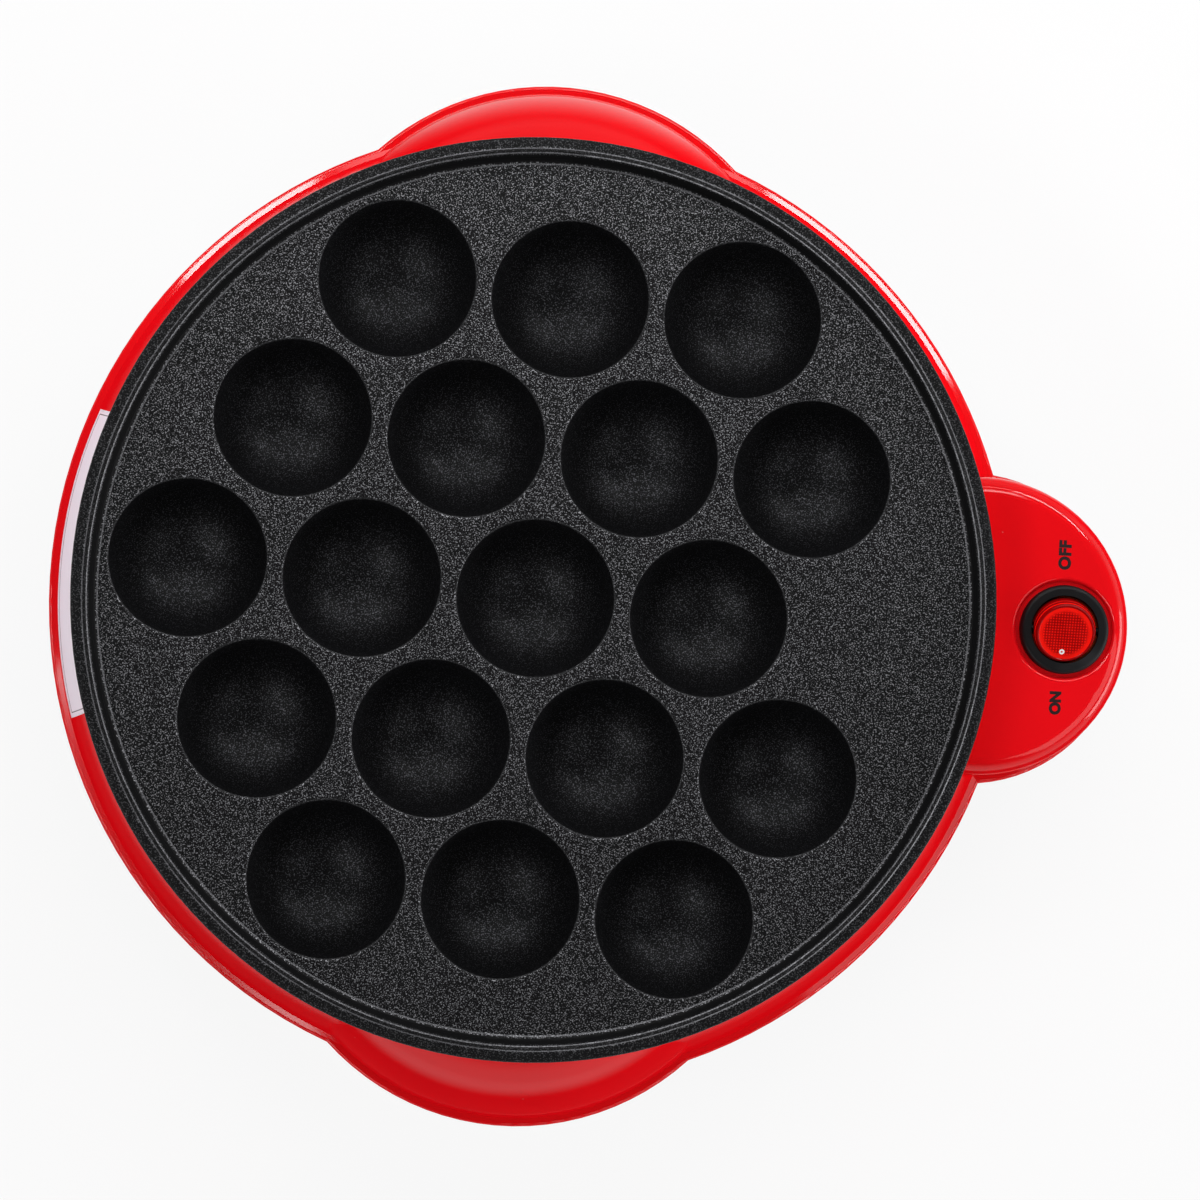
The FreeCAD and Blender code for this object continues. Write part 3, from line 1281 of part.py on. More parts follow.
def make_housing_screws():
    """Screws up through the bosses of the lower housing into the posts of the upper one."""
    length = D["parting_height"] - WELL_TOP + POST_HEIGHT / 2
    return make_screw_ring("housing_screws", POST_CIRCLE, D["screw_radius"], length,
                           D["head_well"] - D["contact_gap"], D["head_height"], WELL_TOP, False)


# Cord inlet ------------------------------------------------------------------------------------

def make_cord_gland():
    """Rubber grommet with a flange on each side of the wall and a bore for a cord."""
    body = new_body("cord_gland")
    gap = D["gland_gap"]
    outside = GLAND_FACE + gap
    inside = GLAND_FACE - D["shell_wall"] - gap
    flange = D["gland_flange"]
    turned_level(body, "Revolution", "grommet", (
        (inside - flange, D["gland_bore"]),
        (outside + flange, D["gland_bore"]),
        (outside + flange, GLAND_LIP),
        (outside, GLAND_LIP + 1),
        (outside, D["gland_hole"] - gap),
        (inside, D["gland_hole"] - gap),
        (inside, GLAND_LIP - gap * 5),
        (inside - flange, D["gland_hole"]),
    ), height=GLAND_HEIGHT)
    return body


def make_cord_clamp():
    """Bar across the cord, held by two screws, with rounded ends."""
    body = new_body("cord_clamp")
    bar = new_sketch(body, "bar_place", "XY_Plane", z=CLAMP_HEIGHT)
    half_width = D["clamp_boss"]
    reach = D["clamp_spread"]
    draw_box(bar, CLAMP_REACH - half_width, CLAMP_REACH + half_width, -reach, reach)
    extruded(body, "Pad", "bar", bar, D["clamp_bar"])
    ends = new_sketch(body, "bar_end_place", "XY_Plane", z=CLAMP_HEIGHT)
    holes = new_sketch(body, "clamp_hole_place", "XY_Plane", z=CLAMP_HEIGHT + D["clamp_bar"])
    for side in (1, -1):
        draw_circle(ends, CLAMP_REACH, reach * side, half_width)
        draw_circle(holes, CLAMP_REACH, reach * side, D["small_screw"] + D["screw_gap"])
    extruded(body, "Pad", "bar_ends", ends, D["clamp_bar"])
    extruded(body, "Pocket", "clamp_holes", holes, D["clamp_bar"] + 1)
    return body


def make_clamp_screws():
    """The two screws of the cord clamp."""
    body = new_body("clamp_screws", many=True)
    seat = CLAMP_HEIGHT + D["clamp_bar"]
    length = D["small_bite"] + D["clamp_bar"] - 1
    outline = screw_outline(D["small_screw"], length, D["screw_head"], D["head_height"], seat)
    screw = turned(body, "Revolution", "screw", outline, x=CLAMP_REACH, across=D["clamp_spread"])
    repeat_mirrored(body, screw, "screws")
    return body


def make_terminal_block():
    """Moulded block on the base with three wire holes, each under a screw hole."""
    body = new_body("terminal_block")
    near = BLOCK_NEAR
    half_width = D["block_width"] / 2
    base = new_sketch(body, "block_place", "XY_Plane", z=BASE_TOP)
    draw_box(base, near, near + D["block_depth"], -half_width, half_width)
    extruded(body, "Pad", "block", base, D["block_height"])
    wires = new_sketch(body, "wire_hole_place", "YZ_Plane", z=near + D["block_depth"])
    screws = new_sketch(body, "screw_hole_place", "XY_Plane", z=BASE_TOP + D["block_height"])
    for step in (-1, 0, 1):
        across = D["block_width"] * (step / 3)
        draw_circle(wires, clean(across), BASE_TOP + D["block_height"] / 2, D["wire_hole"])
        draw_circle(screws, near + D["block_depth"] / 2, clean(across), D["wire_hole"] * 0.8)
    extruded(body, "Pocket", "wire_holes", wires, D["block_depth"] + 1)
    extruded(body, "Pocket", "screw_holes", screws, D["block_height"] / 2)
    return body


# Switch inner pieces ---------------------------------------------------------------------------

def make_switch_terminals():
    """Three blades under the switch barrel."""
    body = new_body("switch_terminals", many=True)
    blades = new_sketch(body, "blade_place", "XY_Plane", x=SWITCH_REACH, z=BARREL_BOTTOM)
    half_width = D["blade_width"] / 2
    half_sheet = D["blade_thickness"] / 2
    for step in (-1, 0, 1):
        middle = D["blade_pitch"] * step
        draw_box(blades, -half_width, half_width, middle - half_sheet, middle + half_sheet)
    extruded(body, "Pad", "blades", blades, D["blade_length"], reverse=True)
    return body


def make_neon_lamp():
    """Small glass lamp that lies on the floor of the switch barrel under the rocker."""
    body = new_body("neon_lamp")
    radius = D["lamp_radius"]
    floor = BARREL_BOTTOM + D["barrel_floor"]
    near = SWITCH_REACH - D["lamp_length"] / 2
    far = near + D["lamp_length"]
    turned_level(body, "Revolution", "lamp", (
        (near, 0),
        (near, radius),
        (far - radius, radius),
        (far, radius / 3),
        (far, 0),
    ), height=floor + radius + D["contact_gap"])
    return body


SUB_PARTS = [
    make_cooking_plate(),
    make_upper_housing(),
    make_lower_housing(),
    make_switch_housing(),
    make_switch_rocker(),
    make_reflector_pan(),
    make_heating_element(),
    make_thermostat_bracket(),
    make_thermostat(),
    make_thermal_fuse(),
    make_fuse_strap(),
    make_bracket_screws(),
    make_pan_screws(),
    make_housing_screws(),
    make_cord_gland(),
    make_cord_clamp(),
    make_clamp_screws(),
    make_terminal_block(),
    make_switch_terminals(),
    make_neon_lamp(),
]
SUB_PARTS += [make_foot(number) for number in range(1, 5)]
SUB_PARTS += [make_heater_cradle(number, angle) for number, angle in enumerate(CRADLE_ANGLES, start=1)]
SUB_PARTS += [make_terminal_bush(number, side) for number, side in ((1, 1), (2, -1))]
SUB_PARTS += [make_terminal_pin(number, side) for number, side in ((1, 1), (2, -1))]


def check_document():
    """Stop if any object failed or any sub-part has no good shape."""
    failed = [item.Name for item in DOC.Objects if "Invalid" in item.State or "Error" in item.State]
    for part in SUB_PARTS:
        if part.Shape.isNull() or not part.Shape.isValid():
            failed.append(part.Label)
    if failed:
        raise RuntimeError("failed objects: " + ", ".join(failed))


def write_parts():
    """Write one STEP file for each sub-part."""
    os.makedirs("parts", exist_ok=True)
    for part in SUB_PARTS:
        part.Shape.exportStep(f"parts/{part.Label}.step")
        box = part.Shape.BoundBox
        print(f"{part.Label}: {len(part.Shape.Solids)} solids, {part.Shape.Volume / 1000:.2f} cm3, "
              f"z {box.ZMin:.2f} to {box.ZMax:.2f}")


DOC.recompute()
check_document()
write_parts()
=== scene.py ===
"""Looks of a home takoyaki maker: finishes, small modelled pieces, studio and camera.

Lengths are in metres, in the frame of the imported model: X runs to the switch pod and Z is up.
"""

import logging
import math
from abc import ABC, abstractmethod
from collections.abc import Callable, Iterator, Sequence
from contextlib import contextmanager
from dataclasses import dataclass, field
from enum import Enum
from functools import cache

import bmesh
import bpy
from mathutils import Euler, Matrix, Vector


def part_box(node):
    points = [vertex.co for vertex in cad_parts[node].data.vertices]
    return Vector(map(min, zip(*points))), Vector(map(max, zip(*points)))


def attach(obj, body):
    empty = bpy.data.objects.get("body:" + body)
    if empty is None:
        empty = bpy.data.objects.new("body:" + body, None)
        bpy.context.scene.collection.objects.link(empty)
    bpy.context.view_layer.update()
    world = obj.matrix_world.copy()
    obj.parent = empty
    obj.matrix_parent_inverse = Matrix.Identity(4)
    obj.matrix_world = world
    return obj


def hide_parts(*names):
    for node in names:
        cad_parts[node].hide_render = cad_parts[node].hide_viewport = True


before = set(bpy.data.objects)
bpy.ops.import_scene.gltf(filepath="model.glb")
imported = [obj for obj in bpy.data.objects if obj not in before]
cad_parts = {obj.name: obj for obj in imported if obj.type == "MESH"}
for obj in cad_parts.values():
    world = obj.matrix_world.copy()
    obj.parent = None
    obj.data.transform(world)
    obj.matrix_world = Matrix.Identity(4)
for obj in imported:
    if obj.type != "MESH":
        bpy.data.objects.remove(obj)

LOG = logging.getLogger("takoyaki_maker")
MM = 0.001
POD_TOP = 67 * MM
STICKER_RADIUS = 121 * MM
FACE_TILT = math.radians(18)

Colour = tuple[float, float, float]
Place = tuple[float, float, float]
Sockets = dict[str | int, object]


def middle_of(node: str) -> Vector:
    """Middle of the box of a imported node."""
    low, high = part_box(node)
    return (low + high) / 2


AXIS_X = middle_of("cooking_plate").x
SWITCH_X = middle_of("switch_rocker").x
PIVOT = (SWITCH_X, 0.0, 66.2 * MM)


def paint(red: int, green: int, blue: int) -> Colour:
    """Turn screen values into the linear colour that a shader takes.

    Args:
        red: Red from 0 to 255.
        green: Green from 0 to 255.
        blue: Blue from 0 to 255.

    Returns:
        The three linear values from 0 to 1.
    """
    values = [part / 255 for part in (red, green, blue)]
    return tuple(v / 12.92 if v <= 0.04045 else ((v + 0.055) / 1.055) ** 2.4 for v in values)


# Shader kit --------------------------------------------------------------------------------------


class Amount:
    """A number that changes over a surface, with arithmetic that grows its shader tree."""

    def __init__(self, tree: "ShaderTree", socket: bpy.types.NodeSocket) -> None:
        """Wrap an output socket of a tree."""
        self.tree = tree
        self.socket = socket

    def _math(self, operation: str, *values: "Amount | float") -> "Amount":
        """Add a Math node on these values."""
        node = self.tree.add("ShaderNodeMath", {"operation": operation}, dict(enumerate(values)))
        return Amount(self.tree, node.outputs[0])

    def __add__(self, other: "Amount | float") -> "Amount":
        """Add another amount or a number."""
        return self._math("ADD", self, other)

    def __radd__(self, other: float) -> "Amount":
        """Add this amount to a number."""
        return self._math("ADD", other, self)

    def __sub__(self, other: "Amount | float") -> "Amount":
        """Take another amount or a number off."""
        return self._math("SUBTRACT", self, other)

    def __rsub__(self, other: float) -> "Amount":
        """Take this amount off a number."""
        return self._math("SUBTRACT", other, self)

    def __mul__(self, other: "Amount | float") -> "Amount":
        """Multiply by another amount or a number."""
        return self._math("MULTIPLY", self, other)

    def __rmul__(self, other: float) -> "Amount":
        """Multiply a number by this amount."""
        return self._math("MULTIPLY", other, self)

    def __pow__(self, power: float) -> "Amount":
        """Raise to a power."""
        return self._math("POWER", self, power)

    def __rpow__(self, base: float) -> "Amount":
        """Raise a number to this power."""
        return self._math("POWER", base, self)

    def __abs__(self) -> "Amount":
        """Drop the sign."""
        return self._math("ABSOLUTE", self)

    def least(self, other: "Amount | float") -> "Amount":
        """Keep the lower of two amounts."""
        return self._math("MINIMUM", self, other)

    def most(self, other: "Amount | float") -> "Amount":
        """Keep the higher of two amounts."""
        return self._math("MAXIMUM", self, other)

    def angle_to(self, across: "Amount") -> "Amount":
        """Angle of the direction whose rise is this amount and whose run is the other."""
        return self._math("ARCTAN2", self, across)

    def length_with(self, other: "Amount") -> "Amount":
        """Long side of the right triangle whose short sides are this amount and the other."""
        return (self * self + other * other) ** 0.5

    def wave(self, pitch: float) -> "Amount":
        """A sine of this amount that goes from 0 to 1 once every pitch."""
        return self._math("SINE", self * (2 * math.pi / pitch)) * 0.5 + 0.5

    def rise(self, low: float, high: float) -> "Amount":
        """Go smoothly from 0 at low to 1 at high, or the other way where low is above high.

        Args:
            low: Where the result is 0.
            high: Where the result is 1.

        Returns:
            An amount from 0 to 1.
        """
        node = self.tree.add(
            "ShaderNodeMapRange",
            {"interpolation_type": "SMOOTHSTEP"},
            {0: self, 1: min(low, high), 2: max(low, high), 3: float(low > high), 4: float(low <= high)},
        )
        return Amount(self.tree, node.outputs[0])

    def band(self, middle: float, half_width: float, soft: float) -> "Amount":
        """Be 1 within half a width of a middle and fall to 0 beyond it over a soft edge."""
        return abs(self - middle).rise(half_width + soft, half_width)


class ShaderTree:
    """The node tree of one material or world, with the calls that the finishes share."""

    def __init__(self, owner: bpy.types.Material | bpy.types.World) -> None:
        """Start an empty tree.

        Args:
            owner: The material or world that the tree belongs to.
        """
        self.owner = owner
        owner.use_nodes = True
        self.nodes = owner.node_tree.nodes
        self.links = owner.node_tree.links
        self.nodes.clear()
        self.coordinates = self.add("ShaderNodeTexCoord").outputs
        self.place = self.coordinates["Object"]

    def add(
        self,
        kind: str,
        settings: dict[str, object] | None = None,
        sockets: Sockets | None = None,
    ) -> bpy.types.Node:
        """Add a node, set it up, then feed its sockets.

        Args:
            kind: Type of the node.
            settings: Its own settings, such as an operation.
            sockets: Values or links of its inputs, by name or number.

        Returns:
            The node.
        """
        node = self.nodes.new(kind)
        for key, value in (settings or {}).items():
            setattr(node, key, value)
        for key, value in (sockets or {}).items():
            self.feed(node.inputs[key], value)
        return node

    def feed(self, socket: bpy.types.NodeSocket, value: object) -> None:
        """Link or set one input.

        Args:
            socket: The input.
            value: An amount, an output socket, a colour, a vector or a number.
        """
        if isinstance(value, Amount):
            self.links.new(value.socket, socket)
        elif isinstance(value, bpy.types.NodeSocket):
            self.links.new(value, socket)
        elif socket.type == "RGBA":
            socket.default_value = (*value, 1.0)
        else:
            socket.default_value = value

    def axes(self, centre: Place) -> tuple[Amount, Amount, Amount]:
        """Distance from a centre along each axis.

        Args:
            centre: Where the three distances are zero.

        Returns:
            The distances along X, Y and Z.
        """
        moved = self.add("ShaderNodeVectorMath", {"operation": "SUBTRACT"}, {0: self.place, 1: centre})
        split = self.add("ShaderNodeSeparateXYZ", None, {0: moved.outputs[0]})
        return tuple(Amount(self, out) for out in split.outputs)

    def about_axis(self) -> tuple[Amount, Amount]:
        """Distance from the axis of the round body, and height."""
        across, along, height = self.axes((AXIS_X, 0.0, 0.0))
        return across.length_with(along), height

    def facing_up(self) -> Amount:
        """How far the surface faces up, from -1 to 1."""
        return self.part_of(self.coordinates["Normal"], 2)

    def part_of(self, vector: bpy.types.NodeSocket, axis: int) -> Amount:
        """The part of a vector along one axis."""
        return Amount(self, self.add("ShaderNodeSeparateXYZ", None, {0: vector}).outputs[axis])

    def turned_away(self) -> Amount:
        """How far the surface turns away from the eye, from 0 to 1."""
        return Amount(self, self.add("ShaderNodeLayerWeight", None, {"Blend": 0.5}).outputs["Facing"])

    def rays(self, *kinds: str) -> Amount:
        """Tell some kinds of ray from the rest.

        Args:
            *kinds: Outputs of the Light Path node.

        Returns:
            1 for rays of these kinds and 0 for the others.
        """
        path = self.add("ShaderNodeLightPath").outputs
        share = Amount(self, path[kinds[0]])
        for kind in kinds[1:]:
            share = share.most(Amount(self, path[kind]))
        return share

    def stretched(self, stretch: Place) -> bpy.types.NodeSocket:
        """Place coordinates stretched along each axis."""
        node = self.add("ShaderNodeVectorMath", {"operation": "MULTIPLY"}, {0: self.place, 1: stretch})
        return node.outputs[0]

    def grain(
        self,
        size: float,
        detail: float = 1.0,
        where: bpy.types.NodeSocket | None = None,
        roughness: float = 0.5,
    ) -> Amount:
        """Soft noise around 0.5.

        Args:
            size: Size of a lump in metres.
            detail: Number of finer layers.
            where: Coordinates other than the plain place.
            roughness: Weight of the finer layers.

        Returns:
            The noise, mostly from 0.25 to 0.75.
        """
        sockets = {"Vector": where or self.place, "Scale": 1 / size}
        sockets |= {"Detail": detail, "Roughness": roughness}
        return Amount(self, self.add("ShaderNodeTexNoise", None, sockets).outputs[0])

    def specks(self, pitch: float, share: float, reach: float = 0.35) -> Amount:
        """Round specks that lie at random in a share of the cells of a pitch.

        Args:
            pitch: Size of a cell in metres.
            share: Share of the cells that hold a speck.
            reach: Radius of a speck in cells.

        Returns:
            A mask that is 1 inside a speck.
        """
        node = self.add("ShaderNodeTexVoronoi", None, {"Vector": self.place, "Scale": 1 / pitch})
        chance = Amount(self, self.add("ShaderNodeSeparateColor", None, {0: node.outputs[1]}).outputs[0])
        return Amount(self, node.outputs[0]).rise(reach, reach * 0.6) * chance.rise(share + 0.02, share)

    def mixed(self, share: Amount, first: object, second: object) -> bpy.types.NodeSocket:
        """Mix two colours.

        Args:
            share: 0 for the first colour and 1 for the second.
            first: A colour or a colour output.
            second: A colour or a colour output.

        Returns:
            The colour output.
        """
        node = self.add("ShaderNodeMix", {"data_type": "RGBA"}, {0: share, 6: first, 7: second})
        return node.outputs[2]

    def bump(self, height: Amount, depth: float) -> bpy.types.NodeSocket:
        """Raise the surface by a height from 0 to 1 times a depth.

        Args:
            height: The height.
            depth: What a height of 1 stands for, in metres.

        Returns:
            The normal output.
        """
        return self.add("ShaderNodeBump", None, {"Distance": depth, "Height": height}).outputs[0]

    def coat_with(self, sockets: Sockets) -> bpy.types.Material:
        """Close the tree with a Principled shader.

        Args:
            sockets: Its inputs by name.

        Returns:
            The material.
        """
        shader = self.add("ShaderNodeBsdfPrincipled", None, sockets)
        self.add("ShaderNodeOutputMaterial", None, {0: shader.outputs[0]})
        return self.owner


# Finishes ----------------------------------------------------------------------------------------


@dataclass(frozen=True)
class Finish(ABC):
    """A surface finish. Its fields are the looks and made() gives its one material."""

    name: str
    colour: Colour

    @abstractmethod
    def grown(self, tree: ShaderTree) -> Sockets:
        """Grow this finish in the empty tree of its material and give the inputs of its shader."""

    @cache
    def made(self) -> bpy.types.Material:
        """The material, built the first time that it is asked for."""
        tree = ShaderTree(bpy.data.materials.new(self.name))
        return tree.coat_with(self.grown(tree))


@dataclass(frozen=True)
class CoatedCasting(Finish):
    """Speckled non-stick coat on top of a cast plate, and bare sanded metal under it.

    The fields give its colours, its grain, and the heights and radii where the look changes, painted
    highlight lines and painted shade among them.
    """

    clouded: Colour = paint(13, 13, 15)
    fleck: Colour = paint(148, 148, 152)
    # Flecks in the cups are darker than on the flats: partly a real difference in the coat, partly painted
    # shade in the hollows.
    shade_darkened_cup_fleck: Colour = paint(88, 88, 92)
    metal: Colour = paint(168, 168, 172)
    roughness: float = 0.55
    pebble: float = 0.32 * MM
    pebble_depth: float = 0.02 * MM
    coat_from: float = 75.5 * MM
    coat_full: float = 76.5 * MM
    cup_full: float = 76.8 * MM
    cup_from: float = 77.5 * MM
    mouth: float = 77.6 * MM
    fillet: float = 110.7 * MM
    trough: float = 111.9 * MM
    bead_edges: tuple[float, float] = (113.0 * MM, 114.2 * MM)
    bead_top: float = 113.6 * MM
    flange_from: float = 114.4 * MM
    flange_full: float = 114.8 * MM

    def grown(self, tree: ShaderTree) -> Sockets:
        """Grow this finish.

        Args:
            tree: The empty tree of its material.

        Returns:
            The inputs of its shader by name.
        """
        radius, height = tree.about_axis()
        coated = tree.facing_up().rise(0.0, 0.06).most(height.rise(self.coat_from, self.coat_full))
        pebbles = tree.grain(self.pebble, 0.0)
        sand = tree.grain(0.22 * MM, 1.0)
        clouds = tree.grain(35 * MM, 2.0)
        cups = height.rise(self.cup_from, self.cup_full)
        flange = radius.rise(self.flange_from, self.flange_full)
        # Painted highlight lines: bright flecks along the cup mouths, the bead edges and the fillet. Painted
        # shade: fewer flecks in the trough and on the bead top.
        mouths = height.band(self.mouth, 0.22 * MM, 0.1 * MM)
        inner_edge, outer_edge = (radius.band(edge, 0.1 * MM, 0.1 * MM) for edge in self.bead_edges)
        fillet = radius.band(self.fillet, 0.12 * MM, 0.15 * MM)
        painted_highlight_lines = (mouths * 0.12).most(outer_edge.most(inner_edge)).most(fillet * 0.6)
        trough = radius.band(self.trough, 0.6 * MM, 0.2 * MM)
        shaded = trough.most(radius.band(self.bead_top, 0.35 * MM, 0.1 * MM) * 0.8)
        flecks = pebbles.rise(0.55, 0.76) * (1 - flange * 0.72) * (1 - shaded)
        flecks = flecks.most(painted_highlight_lines * (pebbles.rise(0.3, 0.6) * 0.6 + 0.4))
        tone = tree.mixed(clouds.rise(0.3, 0.7) * 0.35, self.colour, self.clouded)
        coat = tree.mixed(flecks, tone, tree.mixed(cups, self.fleck, self.shade_darkened_cup_fleck))
        scratches = tree.grain(0.5 * MM, 2.0, tree.stretched((1.0, 0.06, 1.0)))
        height_map = (pebbles + sand * 0.35) * coated + (scratches + sand) * 0.5 * (1 - coated)
        return {
            "Base Color": tree.mixed(coated, self.metal, coat),
            "Metallic": (1 - coated).most(flecks.rise(0.02, 0.3)),
            "Roughness": (self.roughness + (clouds - 0.5) * 0.1 - cups * 0.06) * coated
            + (0.5 + (scratches - 0.5) * 0.3) * (1 - coated),
            "Normal": tree.bump(height_map, self.pebble_depth),
            "Specular IOR Level": 0.12,
        }


@dataclass(frozen=True)
class GlossyShell(Finish):
    """High-gloss moulded plastic with flow marks, dust and hairlines.

    Its coat is strong on faces that look at the eye and weak on the sides, with its own share on the back:
    painted shade of reflections and a painted reflection.
    """

    deep: Colour = paint(220, 8, 16)
    dust: Colour = paint(214, 150, 150)
    roughness: float = 0.22

    def grown(self, tree: ShaderTree) -> Sockets:
        """Grow this finish.

        Args:
            tree: The empty tree of its material.

        Returns:
            The inputs of its shader by name.
        """
        flow = tree.grain(60 * MM, 2.0)
        peel = tree.grain(5 * MM, 1.0)
        dust = tree.specks(5.5 * MM, 0.10, 0.05)
        hair = tree.grain(0.8 * MM, 2.0, tree.stretched((1.0, 0.03, 1.0))).rise(0.68, 0.8)
        away = tree.turned_away()
        back = tree.part_of(tree.coordinates["Normal"], 1)
        # The coat weight by place paints light. It is weak on side and back faces, a painted shade of their
        # reflections. An extra share on back faces seen at a slant is a painted reflection.
        level_gloss = (0.85 - away.rise(0.36, 0.48) * 0.83) * (1 - back.rise(0.38, 0.5) * 0.6)
        edge_gloss = away.rise(0.74, 0.9) * 0.3
        painted_back_reflection = back.rise(0.6, 0.85) * away.rise(0.36, 0.7) * 0.7
        tone = tree.mixed(flow.rise(0.3, 0.7) * 0.5, self.colour, self.deep)
        return {
            "Base Color": tree.mixed(dust * 0.3, tone, self.dust),
            "Roughness": self.roughness + flow.rise(0.4, 0.75) * 0.04 + dust * 0.4 + hair * 0.05,
            "Normal": tree.bump(peel, 0.003 * MM),
            "Specular IOR Level": 0.0,
            "Coat Weight": level_gloss + edge_gloss + painted_back_reflection,
            "Coat Roughness": 0.09,
        }


@dataclass(frozen=True)
class GrainedPlastic(Finish):
    """Moulded plastic with an even eroded grain, polished a little where hands and tables rub it."""

    roughness: float = 0.42
    grain: float = 0.45 * MM
    depth: float = 0.03 * MM
    gloss: float = 0.5
    worn: Colour = paint(74, 74, 78)

    def grown(self, tree: ShaderTree) -> Sockets:
        """Grow this finish.

        Args:
            tree: The empty tree of its material.

        Returns:
            The inputs of its shader by name.
        """
        fine = tree.grain(self.grain, 2.0, roughness=0.6)
        patches = tree.grain(22 * MM, 3.0)
        dust = tree.specks(3.2 * MM, 0.12, 0.07)
        tone = tree.mixed(patches.rise(0.45, 0.75) * 0.25, self.colour, self.worn)
        return {
            "Base Color": tree.mixed(dust * 0.35, tone, self.worn),
            "Roughness": self.roughness + (fine - 0.5) * 0.2 + (patches - 0.5) * 0.15,
            "Normal": tree.bump(fine, self.depth),
            "Specular IOR Level": self.gloss,
        }


class MetalWork(Enum):
    """How a sheet or rod of metal was finished."""

    SPUN = "spun"
    ROLLED = "rolled"
    PLATED = "plated"


@dataclass(frozen=True)
class MetalSheet(Finish):
    """Sheet or rod metal: spun rings, rolled lines or a cloudy plating, with heat tint if it gets hot."""

    work: MetalWork = MetalWork.PLATED
    roughness: float = 0.3
    tint: Colour = paint(150, 118, 78)
    heat_radius: float = 0.0

    def grown(self, tree: ShaderTree) -> Sockets:
        """Grow this finish.

        Args:
            tree: The empty tree of its material.

        Returns:
            The inputs of its shader by name.
        """
        radius, height = tree.about_axis()
        if self.work is MetalWork.SPUN:
            rings = tree.add("ShaderNodeCombineXYZ", None, {0: radius, 1: height, 2: 0.0}).outputs[0]
            lines = tree.grain(0.35 * MM, 2.0, rings)
        elif self.work is MetalWork.ROLLED:
            lines = tree.grain(0.3 * MM, 2.0, tree.stretched((1.0, 0.05, 1.0)))
        else:
            lines = tree.grain(1.4 * MM, 3.0)
        clouds = tree.grain(9 * MM, 3.0)
        tone = tree.mixed(lines.rise(0.3, 0.7) * 0.3, self.colour, tuple(c * 0.72 for c in self.colour))
        if self.heat_radius:
            heat = abs(radius - self.heat_radius).rise(16 * MM, 2 * MM) * clouds.rise(0.25, 0.6)
            tone = tree.mixed(heat * 0.55, tone, self.tint)
        return {
            "Base Color": tree.mixed(clouds.rise(0.55, 0.8) * 0.25, tone, self.tint),
            "Metallic": 1.0,
            "Roughness": self.roughness + (lines - 0.5) * 0.25 + (clouds - 0.5) * 0.12,
            "Normal": tree.bump(lines, 0.006 * MM),
        }


@dataclass(frozen=True)
class BurntSheath(Finish):
    """Steel tube of a heating element: dark oxide with straw and blue patches."""

    straw: Colour = paint(96, 82, 66)
    blue: Colour = paint(66, 72, 88)
    scaled: Colour = paint(120, 112, 100)

    def grown(self, tree: ShaderTree) -> Sockets:
        """Grow this finish.

        Args:
            tree: The empty tree of its material.

        Returns:
            The inputs of its shader by name.
        """
        scale = tree.grain(1.1 * MM, 3.0)
        patches = tree.grain(14 * MM, 2.0)
        tone = tree.mixed(patches.rise(0.35, 0.65), self.colour, self.straw)
        tone = tree.mixed(patches.rise(0.62, 0.8) * 0.6, tone, self.blue)
        return {
            "Base Color": tree.mixed(scale.rise(0.6, 0.8) * 0.4, tone, self.scaled),
            "Metallic": 0.75 - scale.rise(0.5, 0.8) * 0.3,
            "Roughness": 0.42 + (scale - 0.5) * 0.3,
            "Normal": tree.bump(scale, 0.02 * MM),
        }


@dataclass(frozen=True)
class Ceramic(Finish):
    """Unglazed white ceramic with fine pits and a few dark grains."""

    grain_colour: Colour = paint(150, 140, 124)

    def grown(self, tree: ShaderTree) -> Sockets:
        """Grow this finish.

        Args:
            tree: The empty tree of its material.

        Returns:
            The inputs of its shader by name.
        """
        pits = tree.grain(0.5 * MM, 3.0)
        grains = tree.specks(1.3 * MM, 0.15, 0.12)
        return {
            "Base Color": tree.mixed(grains * 0.6, self.colour, self.grain_colour),
            "Roughness": 0.55 + (pits - 0.5) * 0.3,
            "Normal": tree.bump(pits, 0.03 * MM),
        }


@dataclass(frozen=True)
class Rubber(Finish):
    """Soft matt rubber with a dusty bloom and a fine pebble."""

    bloom_colour: Colour = paint(86, 84, 82)

    def grown(self, tree: ShaderTree) -> Sockets:
        """Grow this finish.

        Args:
            tree: The empty tree of its material.

        Returns:
            The inputs of its shader by name.
        """
        pebble = tree.grain(0.35 * MM, 2.0)
        bloom = tree.grain(4 * MM, 3.0)
        return {
            "Base Color": tree.mixed(bloom.rise(0.45, 0.8) * 0.4, self.colour, self.bloom_colour),
            "Roughness": 0.72 + (pebble - 0.5) * 0.25,
            "Normal": tree.bump(pebble, 0.03 * MM),
        }


